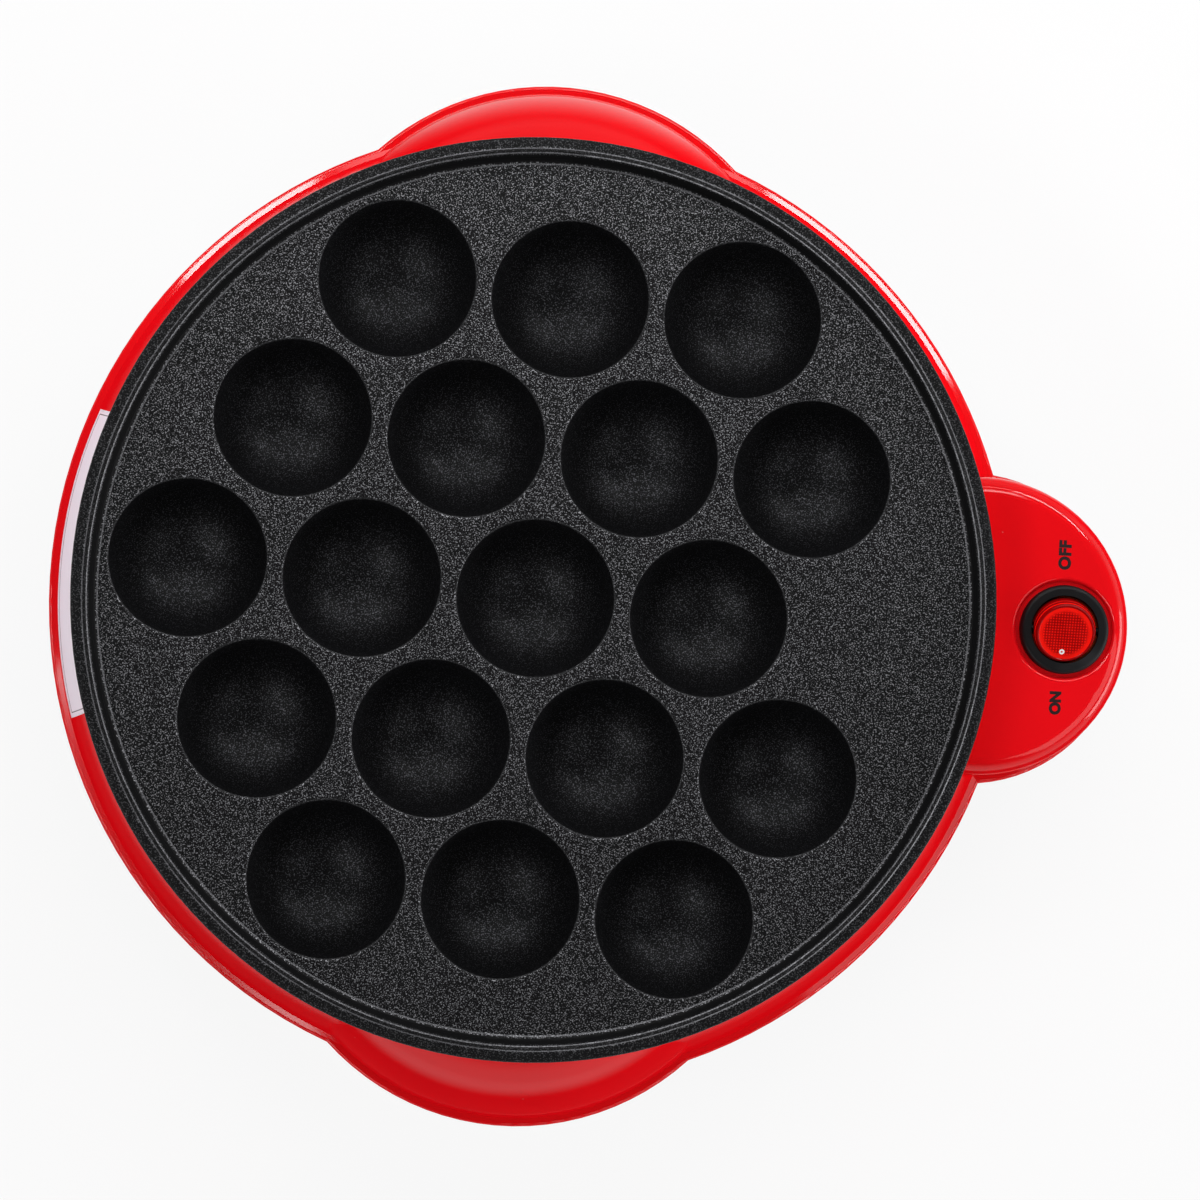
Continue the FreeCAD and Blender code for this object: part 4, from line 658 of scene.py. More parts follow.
@dataclass(frozen=True)
class ClearRed(Finish):
    """Translucent red plastic of the lit button, with the fine prisms moulded under its face."""

    bright: Colour = paint(255, 24, 14)
    prisms: bool = True
    pitch: float = 0.72 * MM
    side_highlight_heights: tuple[float, float] = (2.5 * MM, 1.3 * MM)

    def grown(self, tree: ShaderTree) -> Sockets:
        """Grow this finish.

        Args:
            tree: The empty tree of its material.

        Returns:
            The inputs of its shader by name.
        """
        across, along, height = tree.axes(PIVOT)
        outward = height * math.cos(FACE_TILT) - along * math.sin(FACE_TILT)
        down = along * math.cos(FACE_TILT) + height * math.sin(FACE_TILT)
        radius = across.length_with(down)
        clouds = tree.grain(3.0 * MM, 2.0)
        lattice = across.wave(self.pitch) * down.wave(self.pitch)
        if self.prisms:
            height_map = radius.rise(6.1 * MM, 5.5 * MM) * lattice
            glow = height_map * 0.9 + clouds.rise(0.3, 0.7) * 0.1 + radius.rise(5.2 * MM, 6.4 * MM) * 0.8
        else:
            height_map = clouds
            # Two bright bands at fixed heights on the side are painted highlights.
            upper, lower = (outward.band(line, 0.12 * MM, 0.1 * MM) for line in self.side_highlight_heights)
            glow = upper + lower * 0.7
        tone = tree.mixed(glow, self.colour, self.bright)
        return {
            "Base Color": tone,
            "Roughness": 0.14 + clouds * 0.1,
            "Normal": tree.bump(height_map, 0.005 * MM),
            "Transmission Weight": 0.1,
            "Specular IOR Level": 0.1,
            "Coat Weight": 0.08 + clouds * 0.1,
            "Coat Roughness": 0.03,
            # Emission from the same tone is a painted glow, as if light shone through the button.
            "Emission Color": tone,
            "Emission Strength": 0.12,
        }


@dataclass(frozen=True)
class Ink(Finish):
    """Pad-printed ink with a slightly uneven body."""

    thin: Colour = paint(96, 40, 42)

    def grown(self, tree: ShaderTree) -> Sockets:
        """Grow this finish.

        Args:
            tree: The empty tree of its material.

        Returns:
            The inputs of its shader by name.
        """
        body = tree.grain(0.25 * MM, 2.0)
        return {
            "Base Color": tree.mixed(body.rise(0.55, 0.85) * 0.3, self.colour, self.thin),
            "Roughness": 0.35 + (body - 0.5) * 0.3,
            "Normal": tree.bump(body, 0.004 * MM),
        }


@dataclass(frozen=True)
class StickerFilm(Finish):
    """Blank white film with one thin frame line, a faint weave and softly soiled edges."""

    turn: float
    half_arc: float
    low: float
    high: float
    margin: float = 1.3 * MM
    line: float = 0.22 * MM
    ink: Colour = paint(40, 38, 44)
    soiled: Colour = paint(182, 168, 172)

    def grown(self, tree: ShaderTree) -> Sockets:
        """Grow this finish.

        Args:
            tree: The empty tree of its material.

        Returns:
            The inputs of its shader by name.
        """
        turned = Matrix.Rotation(-self.turn, 3, "Z")
        across, along, height = tree.axes((AXIS_X, 0.0, 0.0))
        outward = across * turned[0][0] + along * turned[0][1]
        sideways = across * turned[1][0] + along * turned[1][1]
        arc = sideways.angle_to(outward) * STICKER_RADIUS
        edge = (self.half_arc - abs(arc)).least(height - self.low).least(self.high - height)
        frame_line = edge.band(self.margin, self.line / 2, 0.05 * MM)
        weave = tree.grain(0.3 * MM, 2.0)
        soil = edge.rise(0.9 * MM, 0.0) * tree.grain(2.5 * MM, 3.0).rise(0.35, 0.7)
        paper = tree.mixed(soil * 0.5 + weave.rise(0.5, 0.9) * 0.06, self.colour, self.soiled)
        return {
            "Base Color": tree.mixed(frame_line, paper, self.ink),
            "Roughness": 0.32 + (weave - 0.5) * 0.2,
            "Normal": tree.bump(weave, 0.004 * MM),
        }


@dataclass(frozen=True)
class LampGlass(Finish):
    """Clear glass of the neon lamp with a warm glow inside."""

    streak: Colour = paint(255, 170, 120)

    def grown(self, tree: ShaderTree) -> Sockets:
        """Grow this finish.

        Args:
            tree: The empty tree of its material.

        Returns:
            The inputs of its shader by name.
        """
        streaks = tree.grain(1.2 * MM, 2.0)
        return {
            "Base Color": tree.mixed(streaks, self.colour, self.streak),
            "Roughness": 0.06 + streaks * 0.06,
            "Transmission Weight": 0.5,
            "Emission Color": self.colour,
            "Emission Strength": 0.8,
        }


class Palette(Enum):
    """Every finish of the cooker."""

    PLATE = CoatedCasting("nonstick_casting", paint(8, 8, 9))
    RED = GlossyShell("red_gloss_shell", paint(232, 12, 22))
    LOWER = GrainedPlastic("black_grained_shell", paint(26, 26, 28))
    BEZEL = GrainedPlastic(
        "black_satin_switch", paint(11, 11, 13), 0.45, grain=0.25 * MM, depth=0.01 * MM, gloss=0.22
    )
    BUTTON_FACE = ClearRed("clear_red_prisms", paint(136, 1, 2))
    BUTTON_SIDE = ClearRed("clear_red_side", paint(136, 2, 4), prisms=False)
    PAN = MetalSheet("spun_pan_steel", paint(196, 196, 198), MetalWork.SPUN, 0.28, heat_radius=62 * MM)
    SHEATH = BurntSheath("heater_sheath_oxide", paint(58, 54, 52))
    ZINC = MetalSheet("zinc_plated_steel", paint(188, 192, 196), roughness=0.32, tint=paint(166, 158, 128))
    CAP = MetalSheet("aluminium_thermostat_cap", paint(204, 204, 206), MetalWork.ROLLED, 0.3)
    FUSE = MetalSheet("white_fuse_case", paint(214, 208, 190), roughness=0.4)
    BUSH = Ceramic("white_ceramic", paint(226, 220, 206))
    BRASS = MetalSheet("brass_tabs", paint(206, 176, 98), MetalWork.ROLLED, 0.26, paint(140, 104, 60))
    GLAND = Rubber("black_gland_rubber", paint(24, 24, 25))
    FOOT = Rubber("grey_foot_rubber", paint(44, 44, 46))
    CLAMP = GrainedPlastic("natural_nylon_clamp", paint(206, 200, 182), worn=paint(176, 166, 140))
    BLOCK = GrainedPlastic("white_block_plastic", paint(222, 218, 206), worn=paint(186, 178, 160))
    LAMP = LampGlass("neon_lamp_glass", paint(255, 120, 60))
    INK = Ink("black_print", paint(34, 18, 20))
    MARK = Ink("white_print", paint(238, 232, 230))


# Modelling bench ---------------------------------------------------------------------------------


def select_none() -> None:
    """Leave every object unselected."""
    for thing in bpy.context.selected_objects:
        thing.select_set(False)


Test = Callable[[Vector, Vector], bool]


class Blank:
    """A mesh on the bench: a primitive at its place, shaped by edit-mode operators."""

    def __init__(self, name: str, primitive: Callable[..., object], **sizes: object) -> None:
        """Add the primitive.

        Args:
            name: Name of the piece.
            primitive: The operator that adds it.
            **sizes: Sizes and place for that operator.
        """
        select_none()
        primitive(**sizes)
        self.thing = bpy.context.object
        self.thing.name = self.thing.data.name = name

    def _take(self) -> None:
        """Make this the active object and the only selected one."""
        select_none()
        bpy.context.view_layer.objects.active = self.thing
        self.thing.select_set(True)

    @contextmanager
    def editing(self) -> Iterator["Blank"]:
        """Work in edit mode with nothing picked at the start."""
        self._take()
        bpy.ops.object.mode_set(mode="EDIT")
        bpy.ops.mesh.select_all(action="DESELECT")
        yield self
        bpy.ops.object.mode_set(mode="OBJECT")

    def pick(self, kind: str, test: Test) -> None:
        """Select the parts whose middle and normal pass a test, and nothing else.

        Args:
            kind: VERT, EDGE or FACE.
            test: Takes the middle and the normal of a part, in the frame of the model.
        """
        bpy.ops.mesh.select_mode(type=kind)
        bpy.ops.mesh.select_all(action="DESELECT")
        mesh = bmesh.from_edit_mesh(self.thing.data)
        world = self.thing.matrix_world
        parts = {"VERT": mesh.verts, "EDGE": mesh.edges, "FACE": mesh.faces}[kind]
        for part in parts:
            if kind == "VERT":
                middle, normal = part.co, part.normal
            elif kind == "EDGE":
                middle = (part.verts[0].co + part.verts[1].co) / 2
                normal = (part.verts[0].normal + part.verts[1].normal).normalized()
            else:
                middle, normal = part.calc_center_median(), part.normal
            part.select_set(test(world @ middle, world.to_3x3() @ normal))
        mesh.select_flush_mode()
        bmesh.update_edit_mesh(self.thing.data)

    def cut(self, point: Place, normal: Place, fill: bool = True, drop: bool = True) -> None:
        """Cut the whole piece with a plane.

        Args:
            point: A point of the plane.
            normal: Normal of the plane.
            fill: Whether the cut is closed with a face.
            drop: Whether the side that the normal points to goes.
        """
        bpy.ops.mesh.select_all(action="SELECT")
        bpy.ops.mesh.bisect(
            plane_co=point, plane_no=normal, use_fill=fill, clear_outer=drop, threshold=1e-7
        )

    def modify(self, kind: str, **settings: object) -> None:
        """Add a modifier and apply it.

        Args:
            kind: Type of the modifier.
            **settings: Its settings.
        """
        self._take()
        modifier = self.thing.modifiers.new(kind.lower(), kind)
        for key, value in settings.items():
            setattr(modifier, key, value)
        bpy.ops.object.modifier_apply(modifier=modifier.name)

    def settle(self, smooth: float = 35.0) -> bpy.types.Object:
        """Move the place, turn and scale into the mesh and smooth it by angle.

        Args:
            smooth: Edges flatter than this many degrees are shaded smooth.

        Returns:
            The finished object.
        """
        self._take()
        bpy.ops.object.transform_apply(location=True, rotation=True, scale=True)
        bpy.ops.object.shade_smooth_by_angle(angle=math.radians(smooth))
        return self.thing


def joined(name: str, things: Sequence[bpy.types.Object]) -> bpy.types.Object:
    """Join several meshes into one piece.

    Args:
        name: Name of the piece.
        things: The meshes; the first one stays.

    Returns:
        The joined object.
    """
    select_none()
    for thing in things:
        thing.select_set(True)
    bpy.context.view_layer.objects.active = things[0]
    bpy.ops.object.join()
    things[0].name = things[0].data.name = name
    return things[0]


def copied(thing: bpy.types.Object, name: str, shift: Vector) -> bpy.types.Object:
    """Copy a piece with its own mesh, moved by a shift that goes into that mesh.

    Args:
        thing: The piece to copy.
        name: Name of the copy.
        shift: How far it moves.

    Returns:
        The copy.
    """
    twin = thing.copy()
    twin.data = thing.data.copy()
    twin.name = twin.data.name = name
    twin.data.transform(Matrix.Translation(shift))
    bpy.context.scene.collection.objects.link(twin)
    return twin


def around(radius: float, degrees: float, height: float) -> Vector:
    """A place at a radius and an angle about the axis of the round body."""
    turn = math.radians(degrees)
    return Vector((AXIS_X + radius * math.cos(turn), radius * math.sin(turn), height))


# Sub-assemblies ----------------------------------------------------------------------------------


Nodes = dict[str, Palette]


def dressed(**nodes: Palette) -> Nodes:
    """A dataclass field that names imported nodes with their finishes."""
    return field(default_factory=lambda: dict(nodes))


@dataclass
class SubAssembly:
    """A group of pieces on one body that is modelled and dressed together."""

    body: str = "body"
    nodes: Nodes = dressed()

    def build(self) -> list[bpy.types.Object]:
        """Model the pieces that are new and return them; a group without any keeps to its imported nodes."""
        return []

    def dress(self) -> None:
        """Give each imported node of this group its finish."""
        for node, finish in self.nodes.items():
            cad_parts[node].material_slots[0].material = finish.value.made()
            LOG.info("%s keeps its shape, in %s", node, finish.value.name)

    def add(
        self,
        thing: bpy.types.Object,
        finish: Finish,
        slot: str | None = None,
        stands_for: str | None = None,
    ) -> bpy.types.Object:
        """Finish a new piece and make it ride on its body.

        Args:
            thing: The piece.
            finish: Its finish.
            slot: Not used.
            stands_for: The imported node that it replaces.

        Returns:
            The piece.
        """
        thing.data.materials.clear()
        thing.data.materials.append(finish.made())
        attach(thing, self.body)
        if stands_for:
            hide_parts(stands_for)
        LOG.info("%s is modelled, %d faces, in %s", thing.name, len(thing.data.polygons), finish.name)
        return thing


@dataclass
class CookingPlate(SubAssembly):
    """The loose plate with its cups, as it is packed."""

    body: str = "plate"
    nodes: Nodes = dressed(cooking_plate=Palette.PLATE)


@dataclass
class Housing(SubAssembly):
    """Both shells with the lettering on the pod and the blank sticker on the wall."""

    nodes: Nodes = dressed(upper_housing=Palette.RED, lower_housing=Palette.LOWER)
    off_size: float = 4.12 * MM
    off_spacing: float = 1.06
    on_size: float = 3.78 * MM
    on_spacing: float = 0.98
    letter_rise: float = 0.03 * MM
    letter_weight: float = 0.22 * MM
    off_place: tuple[float, float] = (SWITCH_X - 0.75 * MM, 19.25 * MM)
    on_place: tuple[float, float] = (SWITCH_X - 1.45 * MM, -19.05 * MM)
    flare: float = 90.0 * MM
    foot: tuple[float, float] = (124.8 * MM, 42.4 * MM)
    rim: tuple[float, float] = (116.1 * MM, 77.25 * MM)
    sticker_from: float = 159.0
    sticker_to: float = 197.2
    sticker_low: float = 43.4 * MM
    sticker_high: float = 57.6 * MM
    sticker_lift: float = 0.04 * MM
    sticker_curve_points: int = 720
    sticker_steps: int = 64

    def build(self) -> list[bpy.types.Object]:
        """Model the lettering and the sticker."""
        return [
            self._word("switch_word_off", "OFF", self.off_place, self.off_size, self.off_spacing),
            self._word("switch_word_on", "ON", self.on_place, self.on_size, self.on_spacing),
            self._sticker(),
        ]

    def _word(
        self, name: str, word: str, place: tuple[float, float], size: float, spacing: float
    ) -> bpy.types.Object:
        """One printed word that reads along the pod with its tops towards the plate.

        Args:
            name: Name of the piece.
            word: The word.
            place: Middle of the word along X and Y.
            size: Size of the letters.
            spacing: How far apart the letters stand, where 1 is usual.

        Returns:
            The piece.
        """
        select_none()
        bpy.ops.object.text_add()
        text = bpy.context.object
        text.data.body = word
        text.data.align_x = text.data.align_y = "CENTER"
        text.data.size = size
        text.data.space_character = spacing
        text.data.offset = self.letter_weight
        text.data.extrude = self.letter_rise
        text.data.resolution_u = 6
        bpy.ops.object.convert(target="MESH")
        thing = bpy.context.object
        thing.name = thing.data.name = name
        middle = sum((Vector(corner) for corner in thing.bound_box), Vector()) / 8
        thing.rotation_euler = (0.0, 0.0, math.pi / 2)
        thing.location = (place[0] + middle.y, place[1] - middle.x, POD_TOP)
        bpy.ops.object.transform_apply(location=True, rotation=True, scale=True)
        return self.add(thing, Palette.INK.value)

    def _flare_centre(self) -> tuple[float, float]:
        """Radius and height of the middle of the wall's hollow curve."""
        run, rise = self.rim[0] - self.foot[0], self.rim[1] - self.foot[1]
        chord = math.hypot(run, rise)
        offset = math.sqrt(self.flare**2 - (chord / 2) ** 2) / chord
        return (
            (self.rim[0] + self.foot[0]) / 2 + offset * rise,
            (self.rim[1] + self.foot[1]) / 2 - offset * run,
        )

    def _sticker(self) -> bpy.types.Object:
        """The blank sticker: an arc of the wall's own curve, spun round the body and thickened."""
        centre_radius, centre_height = self._flare_centre()
        reach = self.flare - self.sticker_lift
        blank = Blank(
            "wall_sticker",
            bpy.ops.mesh.primitive_circle_add,
            vertices=self.sticker_curve_points,
            radius=reach,
            location=(AXIS_X + centre_radius, 0.0, centre_height),
            rotation=(math.pi / 2, 0.0, 0.0),
        )
        turn = math.radians(self.sticker_to - self.sticker_from)
        with blank.editing():
            blank.cut((0.0, 0.0, self.sticker_high), (0.0, 0.0, 1.0), fill=False)
            blank.cut((0.0, 0.0, self.sticker_low), (0.0, 0.0, -1.0), fill=False)
            blank.cut((AXIS_X + centre_radius, 0.0, 0.0), (1.0, 0.0, 0.0), fill=False)
            bpy.ops.mesh.select_all(action="SELECT")
            bpy.ops.transform.rotate(
                value=-math.radians(self.sticker_from), orient_axis="Z", center_override=(AXIS_X, 0.0, 0.0)
            )
            bpy.ops.mesh.spin(
                steps=self.sticker_steps, angle=-turn, center=(AXIS_X, 0.0, 0.0), axis=(0.0, 0.0, 1.0)
            )
            bpy.ops.mesh.select_all(action="SELECT")
            bpy.ops.mesh.remove_doubles(threshold=1e-7)
            bpy.ops.mesh.normals_make_consistent(inside=False)
        blank.modify("SOLIDIFY", thickness=self.sticker_lift * 2, offset=0.0)
        finish = StickerFilm(
            "blank_white_film",
            paint(236, 226, 238),
            turn=math.radians((self.sticker_from + self.sticker_to) / 2),
            half_arc=turn / 2 * STICKER_RADIUS,
            low=self.sticker_low,
            high=self.sticker_high,
        )
        return self.add(blank.settle(60), finish)


@dataclass
class RoundSwitch(SubAssembly):
    """The rocker switch: its body and lamp as they are packed, and a finer button."""

    body: str = "rocker"
    nodes: Nodes = dressed(
        switch_housing=Palette.BEZEL, neon_lamp=Palette.LAMP, switch_terminals=Palette.BRASS
    )
    pivot: Place = PIVOT
    ball: float = 8.2 * MM
    face_out: float = 3.5 * MM
    skirt: float = 4.1 * MM
    rim_width: float = 0.35 * MM
    dish_depth: float = 0.16 * MM
    dish_slope: float = 0.14 * MM
    dish_margin: float = 0.5 * MM
    edge_round: float = 0.09 * MM
    face_radius: float = 7.1 * MM
    pin_radius: float = 1.0 * MM
    pin_reach: float = 9.6 * MM
    pin_tip: float = 0.18 * MM
    tip_length: float = 0.12 * MM
    pin_dark_from: float = 8.0 * MM
    mark_radius: float = 0.7 * MM
    mark_width: float = 0.47 * MM
    mark_reach: float = 5.0 * MM
    mark_shift: float = 0.5 * MM
    mark_sink: float = 0.15 * MM
    mark_rise: float = 0.03 * MM

    def build(self) -> list[bpy.types.Object]:
        """Model the button and the ring mark on its ON side."""
        return [self._button(), self._mark()]

    def _face_frame(self) -> tuple[Vector, Vector]:
        """Middle of the tilted face, and its normal."""
        normal = Vector((0.0, -math.sin(FACE_TILT), math.cos(FACE_TILT)))
        return Vector(self.pivot) + normal * self.face_out, normal

    def _button(self) -> bpy.types.Object:
        """The button: a ball cut by its tilted face, with a fine rim, and two pivot pins."""
        middle, normal = self._face_frame()
        blank = Blank(
            "switch_button",
            bpy.ops.mesh.primitive_uv_sphere_add,
            segments=96,
            ring_count=64,
            radius=self.ball,
            location=self.pivot,
        )
        with blank.editing():
            blank.cut((0.0, 0.0, self.pivot[2] - self.skirt), (0.0, 0.0, -1.0))
            blank.cut(tuple(middle), tuple(normal))
            blank.pick(
                "FACE", lambda where, way: way.dot(normal) > 0.9999 and (where - middle).dot(normal) > -1e-5
            )
            bpy.ops.mesh.inset(thickness=self.rim_width, depth=0.0)
            bpy.ops.mesh.inset(thickness=self.dish_slope, depth=-self.dish_depth)
            bpy.ops.mesh.inset(thickness=self.dish_margin, depth=0.0)
        blank.modify(
            "BEVEL", width=self.edge_round, segments=3, limit_method="ANGLE", angle_limit=math.radians(25)
        )
        button = blank.settle(50)
        pins = Blank(
            "switch_button_pins",
            bpy.ops.mesh.primitive_cylinder_add,
            vertices=48,
            radius=self.pin_radius,
            depth=self.pin_reach * 2,
            location=self.pivot,
            rotation=(0.0, math.pi / 2, 0.0),
        )
        with pins.editing():
            for side in (1, -1):
                place = (self.pivot[0] + side * (self.pin_dark_from + 0.05 * MM), 0.0, 0.0)
                pins.cut(place, (1.0, 0.0, 0.0), fill=False, drop=False)
            pins.pick("FACE", lambda where, way: abs(way.x) > 0.9)
            bpy.ops.mesh.inset(thickness=self.pin_tip, depth=self.tip_length)
        piece = joined("switch_button", [button, pins.settle(50)])
        self.add(piece, Palette.BUTTON_SIDE.value, "switch_red", "switch_rocker")
        piece.data.materials.append(Palette.BUTTON_FACE.value.made())
        piece.data.materials.append(Palette.BEZEL.value.made())
        for face in piece.data.polygons:
            if abs(face.center.x - self.pivot[0]) > self.pin_dark_from:
                face.material_index = 2
            elif (face.center - middle).length < self.face_radius and face.normal.dot(normal) > 0.99:
                face.material_index = 1
        return piece

    def _mark(self) -> bpy.types.Object:
        """The small printed ring on the ON side of the button."""
        middle, normal = self._face_frame()
        side = normal.cross(Vector((1.0, 0.0, 0.0)))
        shift = Vector((self.mark_shift, 0.0, 0.0))
        place = middle - normal * self.mark_sink - side * self.mark_reach - shift
        blank = Blank(
            "switch_button_mark",
            bpy.ops.mesh.primitive_circle_add,
            vertices=48,
            radius=self.mark_radius,
            fill_type="NGON",
            location=tuple(place),
            rotation=(FACE_TILT, 0.0, 0.0),
        )
        with blank.editing():
            bpy.ops.mesh.select_all(action="SELECT")
            bpy.ops.mesh.inset(thickness=self.mark_width, depth=0.0)
            bpy.ops.mesh.delete(type="FACE")
            bpy.ops.mesh.select_all(action="SELECT")
            rise = tuple(normal * self.mark_rise)
            bpy.ops.mesh.extrude_region_move(TRANSFORM_OT_translate={"value": rise})
            bpy.ops.mesh.select_all(action="SELECT")
            bpy.ops.mesh.normals_make_consistent(inside=False)
        return self.add(blank.settle(40), Palette.MARK.value)


@dataclass(frozen=True)
class CrossScrew:
    """Sizes of a cross-recessed pan-head screw, with the shares of them that shape its head."""

    head: float
    rise: float
    shank: float
    length: float
    thread: float = 0.9 * MM
    thread_share: float = 0.12
    flank_share: float = 0.55
    dome_steps: tuple[tuple[float, float], ...] = ((0.16, 0.24), (0.2, 0.14), (0.25, 0.07))
    slot_share: float = 0.28
    slot_reach: float = 0.42
    slot_taper: float = 0.6

    def made(self, name: str, seat: Vector, up: bool = True) -> bpy.types.Object:
        """Model the screw with the underside of its head on a seat.

        Args:
            name: Name of the piece.
            seat: Middle of the seat.
            up: Whether the head stands above the seat.

        Returns:
            The screw.
        """
        way = 1.0 if up else -1.0
        blank = Blank(
            name,
            bpy.ops.mesh.primitive_cylinder_add,
            vertices=32,
            radius=self.head,
            depth=self.rise * self.flank_share,
            location=(seat.x, seat.y, seat.z + way * self.rise * self.flank_share / 2),
        )
        with blank.editing():
            blank.pick("FACE", lambda where, normal: normal.z * way > 0.9)
            for inward, lift in self.dome_steps:
                bpy.ops.mesh.inset(thickness=self.head * inward, depth=self.rise * lift)
        bar = self.head * self.slot_share
        cutter = Blank(
            f"{name}_recess",
            bpy.ops.mesh.primitive_cube_add,
            size=bar,
            location=(seat.x, seat.y, seat.z + way * self.rise),
        )
        with cutter.editing():
            bpy.ops.mesh.select_all(action="SELECT")
            bpy.ops.transform.resize(value=(1.0, 1.0, self.rise * 1.1 / bar))
            cutter.pick("FACE", lambda where, normal: abs(normal.z) < 0.1)
            reach = self.head * self.slot_reach
            bpy.ops.mesh.extrude_faces_move(TRANSFORM_OT_shrink_fatten={"value": reach})
            cutter.pick("FACE", lambda where, normal: normal.z * way < -0.9)
            bpy.ops.transform.resize(
                value=(self.slot_taper, self.slot_taper, 1.0), center_override=tuple(seat)
            )
        blank.modify("BOOLEAN", operation="DIFFERENCE", object=cutter.thing, solver="EXACT")
        bpy.data.objects.remove(cutter.thing)
        with blank.editing():
            blank.pick("FACE", lambda where, normal: normal.z * way < -0.9)
            bpy.ops.mesh.inset(thickness=self.head - self.shank, depth=0.0)
            turns = max(2, round(self.length / self.thread))
            half_turn = self.length / turns / 2
            for _ in range(turns):
                bpy.ops.mesh.inset(thickness=self.shank * self.thread_share, depth=half_turn)
                bpy.ops.mesh.inset(thickness=-self.shank * self.thread_share, depth=half_turn)
        return blank.settle(30)


@dataclass
class Fixings(SubAssembly):
    """Every screw of the body, modelled once for each kind and copied to its places."""

    small: CrossScrew = CrossScrew(2.5 * MM, 1.8 * MM, 1.3 * MM, 2.5 * MM)
    pan: CrossScrew = CrossScrew(2.5 * MM, 1.8 * MM, 1.3 * MM, 5.0 * MM)
    long: CrossScrew = CrossScrew(3.2 * MM, 1.8 * MM, 1.7 * MM, 20.0 * MM)
    post_radius: float = 105.0 * MM
    cradle_radius: float = 71.5 * MM
    bracket_reach: float = 16.0 * MM
    fuse_shift: float = 32.0 * MM
    strap_reach: float = 6.4 * MM
    strap_step: float = 0.2 * MM
    clamp_reach: float = 9.0 * MM

    def build(self) -> list[bpy.types.Object]:
        """Model every set of screws."""
        pan_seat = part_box("pan_screws")[1].z - self.pan.rise
        clamp_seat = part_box("clamp_screws")[1].z - self.small.rise
        long_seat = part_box("housing_screws")[0].z + self.long.rise
        sheet_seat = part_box("bracket_screws")[1].z - self.small.rise
        strap_seat = sheet_seat - self.strap_step
        fuse_x = AXIS_X - self.fuse_shift
        clamp_x = middle_of("clamp_screws").x
        sheet = [around(self.cradle_radius, angle, sheet_seat) for angle in (90, 180, 270)]
        sheet += [Vector((AXIS_X, side * self.bracket_reach, sheet_seat)) for side in (1, -1)]
        sheet += [Vector((fuse_x + side * self.strap_reach, 0.0, strap_seat)) for side in (1, -1)]
        clamp = [Vector((clamp_x, side * self.clamp_reach, clamp_seat)) for side in (1, -1)]
        return (
            self._set("bracket_screw", "bracket_screws", self.small, sheet)
            + self._set("clamp_screw", "clamp_screws", self.pan, clamp)
            + self._set("pan_screw", "pan_screws", self.pan, self._posts(pan_seat))
            + self._set("housing_screw", "housing_screws", self.long, self._posts(long_seat), up=False)
        )

    def _posts(self, height: float) -> list[Vector]:
        """The four screw posts at a height."""
        return [around(self.post_radius, angle, height) for angle in (45, 135, 225, 315)]

    def _set(
        self, name: str, node: str, kind: CrossScrew, seats: Sequence[Vector], up: bool = True
    ) -> list[bpy.types.Object]:
        """Model one screw and copy it to the other seats.

        Args:
            name: Name of each piece, before its number.
            node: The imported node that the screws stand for.
            kind: Sizes of the screw.
            seats: Where the heads sit.
            up: Whether the heads stand above their seats.

        Returns:
            The screws.
        """
        first = kind.made(f"{name}_1", seats[0], up)
        screws = [first]
        for number, seat in enumerate(seats[1:], start=2):
            screws.append(copied(first, f"{name}_{number}", seat - seats[0]))
        for screw in screws:
            self.add(screw, Palette.ZINC.value, "zinc_steel", node)
        return screws


@dataclass
class HeatingDeck(SubAssembly):
    """The reflector pan with the heater and all that is fixed to it, as they are packed."""

    nodes: Nodes = dressed(
        reflector_pan=Palette.PAN,
        heating_element=Palette.SHEATH,
        thermostat=Palette.CAP,
        thermostat_bracket=Palette.ZINC,
        thermal_fuse=Palette.FUSE,
        fuse_strap=Palette.ZINC,
        **{f"heater_cradle_{number}": Palette.ZINC for number in (1, 2, 3)},
        **{f"terminal_bush_{number}": Palette.BUSH for number in (1, 2)},
        **{f"terminal_pin_{number}": Palette.BRASS for number in (1, 2)},
    )


@dataclass
class CordEntry(SubAssembly):
    """Where a cord comes in: gland, clamp and terminal block, as they are packed."""

    nodes: Nodes = dressed(cord_gland=Palette.GLAND, cord_clamp=Palette.CLAMP, terminal_block=Palette.BLOCK)


@dataclass
class Feet(SubAssembly):
    """Four rubber feet under the base, as they are packed."""

    nodes: Nodes = dressed(**{f"foot_{number}": Palette.FOOT for number in (1, 2, 3, 4)})


# Studio ------------------------------------------------------------------------------------------


@dataclass(frozen=True)
class SoftBox:
    """A rectangular lamp that looks at a place on the axis of the round body."""

    name: str
    turn: float
    tilt: float
    distance: float
    width: float
    height: float
    power: float
    aim: Place = (AXIS_X, 0.0, 60 * MM)

    def hang(self) -> None:
        """Add the lamp, level along its width."""
        lamp = bpy.data.lights.new(self.name, "AREA")
        lamp.shape = "RECTANGLE"
        lamp.size, lamp.size_y = self.width, self.height
        lamp.energy = self.power
        holder = bpy.data.objects.new(self.name, lamp)
        turn, tilt = math.radians(self.turn), math.radians(self.tilt)
        way = Vector((math.sin(tilt) * math.cos(turn), math.sin(tilt) * math.sin(turn), math.cos(tilt)))
        holder.location = Vector(self.aim) + way * self.distance
        holder.rotation_euler = way.to_track_quat("Z", "Y").to_euler()
        bpy.context.scene.collection.objects.link(holder)
        LOG.info("lamp %s hangs at %s", self.name, tuple(round(v, 3) for v in holder.location))


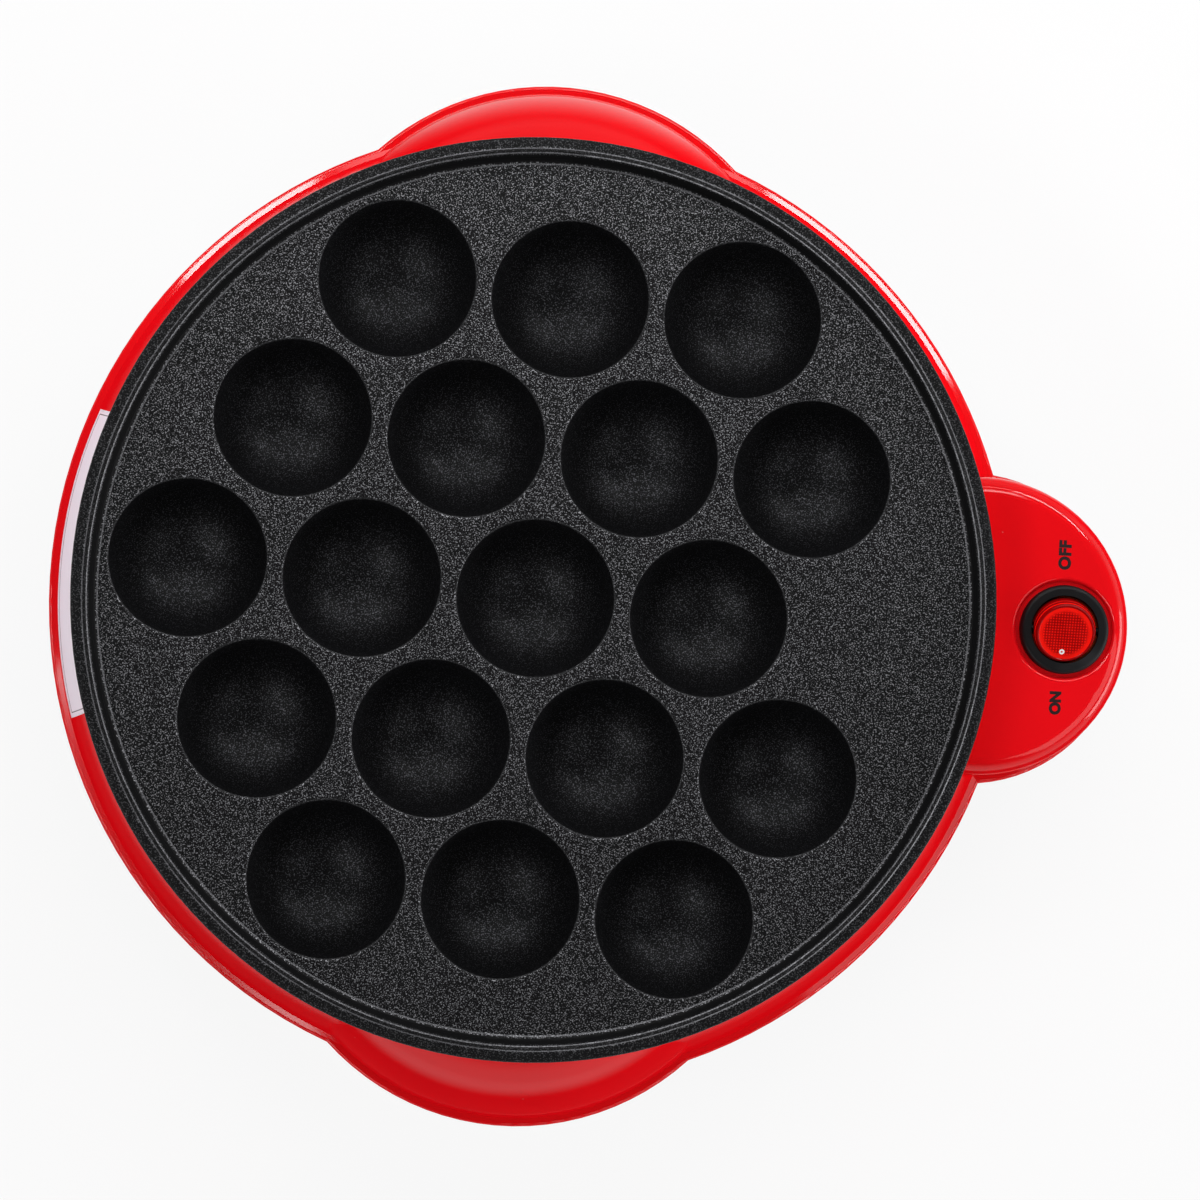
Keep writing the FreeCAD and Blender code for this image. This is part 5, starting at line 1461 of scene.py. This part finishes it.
@dataclass(frozen=True)
class Studio:
    """Pale floor, white surround, soft boxes and the camera over the plate."""

    camera_place: Place = (AXIS_X - 0.016472, -0.036447, 0.990308)
    camera_turn: Place = (2.197873, -2.186046, 3.135887)
    lens: float = 107.993
    sensor: float = 36.0
    floor_colour: Colour = (0.86, 0.86, 0.87)
    floor_mottle: Colour = (0.8, 0.8, 0.8)
    floor_white: float = 0.88
    floor_size: float = 14.0
    horizon_level: float = 0.75
    ceiling_level: float = 0.05
    boxes: tuple[SoftBox, ...] = (
        SoftBox("top_box", 92.0, 34.0, 0.62, 0.6, 0.12, 1.45),
        SoftBox("back_strip", 90.0, 57.0, 0.98, 0.75, 0.12, 1.0),
        SoftBox("right_strip", 48.3, 56.8, 0.986, 0.44, 0.06, 2.0),
        SoftBox("left_strip", 128.0, 55.8, 0.96, 0.27, 0.06, 1.2),
        SoftBox("left_box", 217.0, 42.0, 2.5, 2.0, 0.5, 18.5),
        SoftBox("right_box", 335.0, 46.0, 1.3, 0.9, 0.6, 2.6),
        SoftBox("side_box", 350.0, 76.0, 1.5, 1.0, 0.4, 6.0),
    )

    def set_up(self) -> None:
        """Build the studio."""
        self._floor()
        self._surround()
        for box in self.boxes:
            box.hang()
        self._camera()
        bpy.context.scene.view_settings.view_transform = "Standard"

    def _floor(self) -> None:
        """A wide pale floor whose colour shows as white and keeps a light shadow."""
        blank = Blank("floor", bpy.ops.mesh.primitive_plane_add, size=self.floor_size)
        tree = ShaderTree(bpy.data.materials.new("pale_floor"))
        mottle = tree.grain(0.4, 3.0)
        tone = tree.mixed(mottle * 0.04, self.floor_colour, self.floor_mottle)
        matt = tree.add("ShaderNodeBsdfDiffuse", None, {"Color": tone})
        white = tree.add("ShaderNodeEmission", None, {"Color": (1.0, 1.0, 1.0), "Strength": 1.0})
        seen = tree.rays("Is Camera Ray", "Is Glossy Ray", "Is Transmission Ray")
        shares = {0: seen * self.floor_white, 1: matt.outputs[0], 2: white.outputs[0]}
        both = tree.add("ShaderNodeMixShader", None, shares)
        tree.add("ShaderNodeOutputMaterial", None, {0: both.outputs[0]})
        blank.thing.data.materials.append(tree.owner)
        blank.settle()

    def _surround(self) -> None:
        """A surround that is white to the camera and near the horizon, and dim overhead."""
        tree = ShaderTree(bpy.data.worlds.new("studio_surround"))
        lift = tree.part_of(tree.coordinates["Generated"], 2)
        level = lift.rise(0.6, 0.15) * self.horizon_level + self.ceiling_level
        level = tree.rays("Is Camera Ray").most(level)
        back = tree.add("ShaderNodeBackground", None, {"Color": (1.0, 1.0, 1.0), "Strength": level})
        tree.add("ShaderNodeOutputWorld", None, {0: back.outputs[0]})
        bpy.context.scene.world = tree.owner

    def _camera(self) -> None:
        """The camera, almost straight above the plate."""
        lens = bpy.data.cameras.new("camera_over_plate")
        lens.lens = self.lens
        lens.sensor_width = self.sensor
        lens.clip_start = 0.01
        camera = bpy.data.objects.new("camera_over_plate", lens)
        camera.location = self.camera_place
        camera.rotation_euler = Euler([math.radians(turn) for turn in self.camera_turn])
        bpy.context.scene.collection.objects.link(camera)
        bpy.context.scene.camera = camera


def main() -> None:
    """Build and dress every sub-assembly, then the studio."""
    logging.basicConfig(level=logging.INFO, format="%(name)s: %(message)s")
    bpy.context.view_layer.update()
    groups = (CookingPlate(), Housing(), RoundSwitch(), Fixings(), HeatingDeck(), CordEntry(), Feet())
    for group in groups:
        pieces = group.build()
        group.dress()
        LOG.info("%s: %d new pieces", type(group).__name__, len(pieces))
    Studio().set_up()
    select_none()


if __name__ == "__main__":
    main()
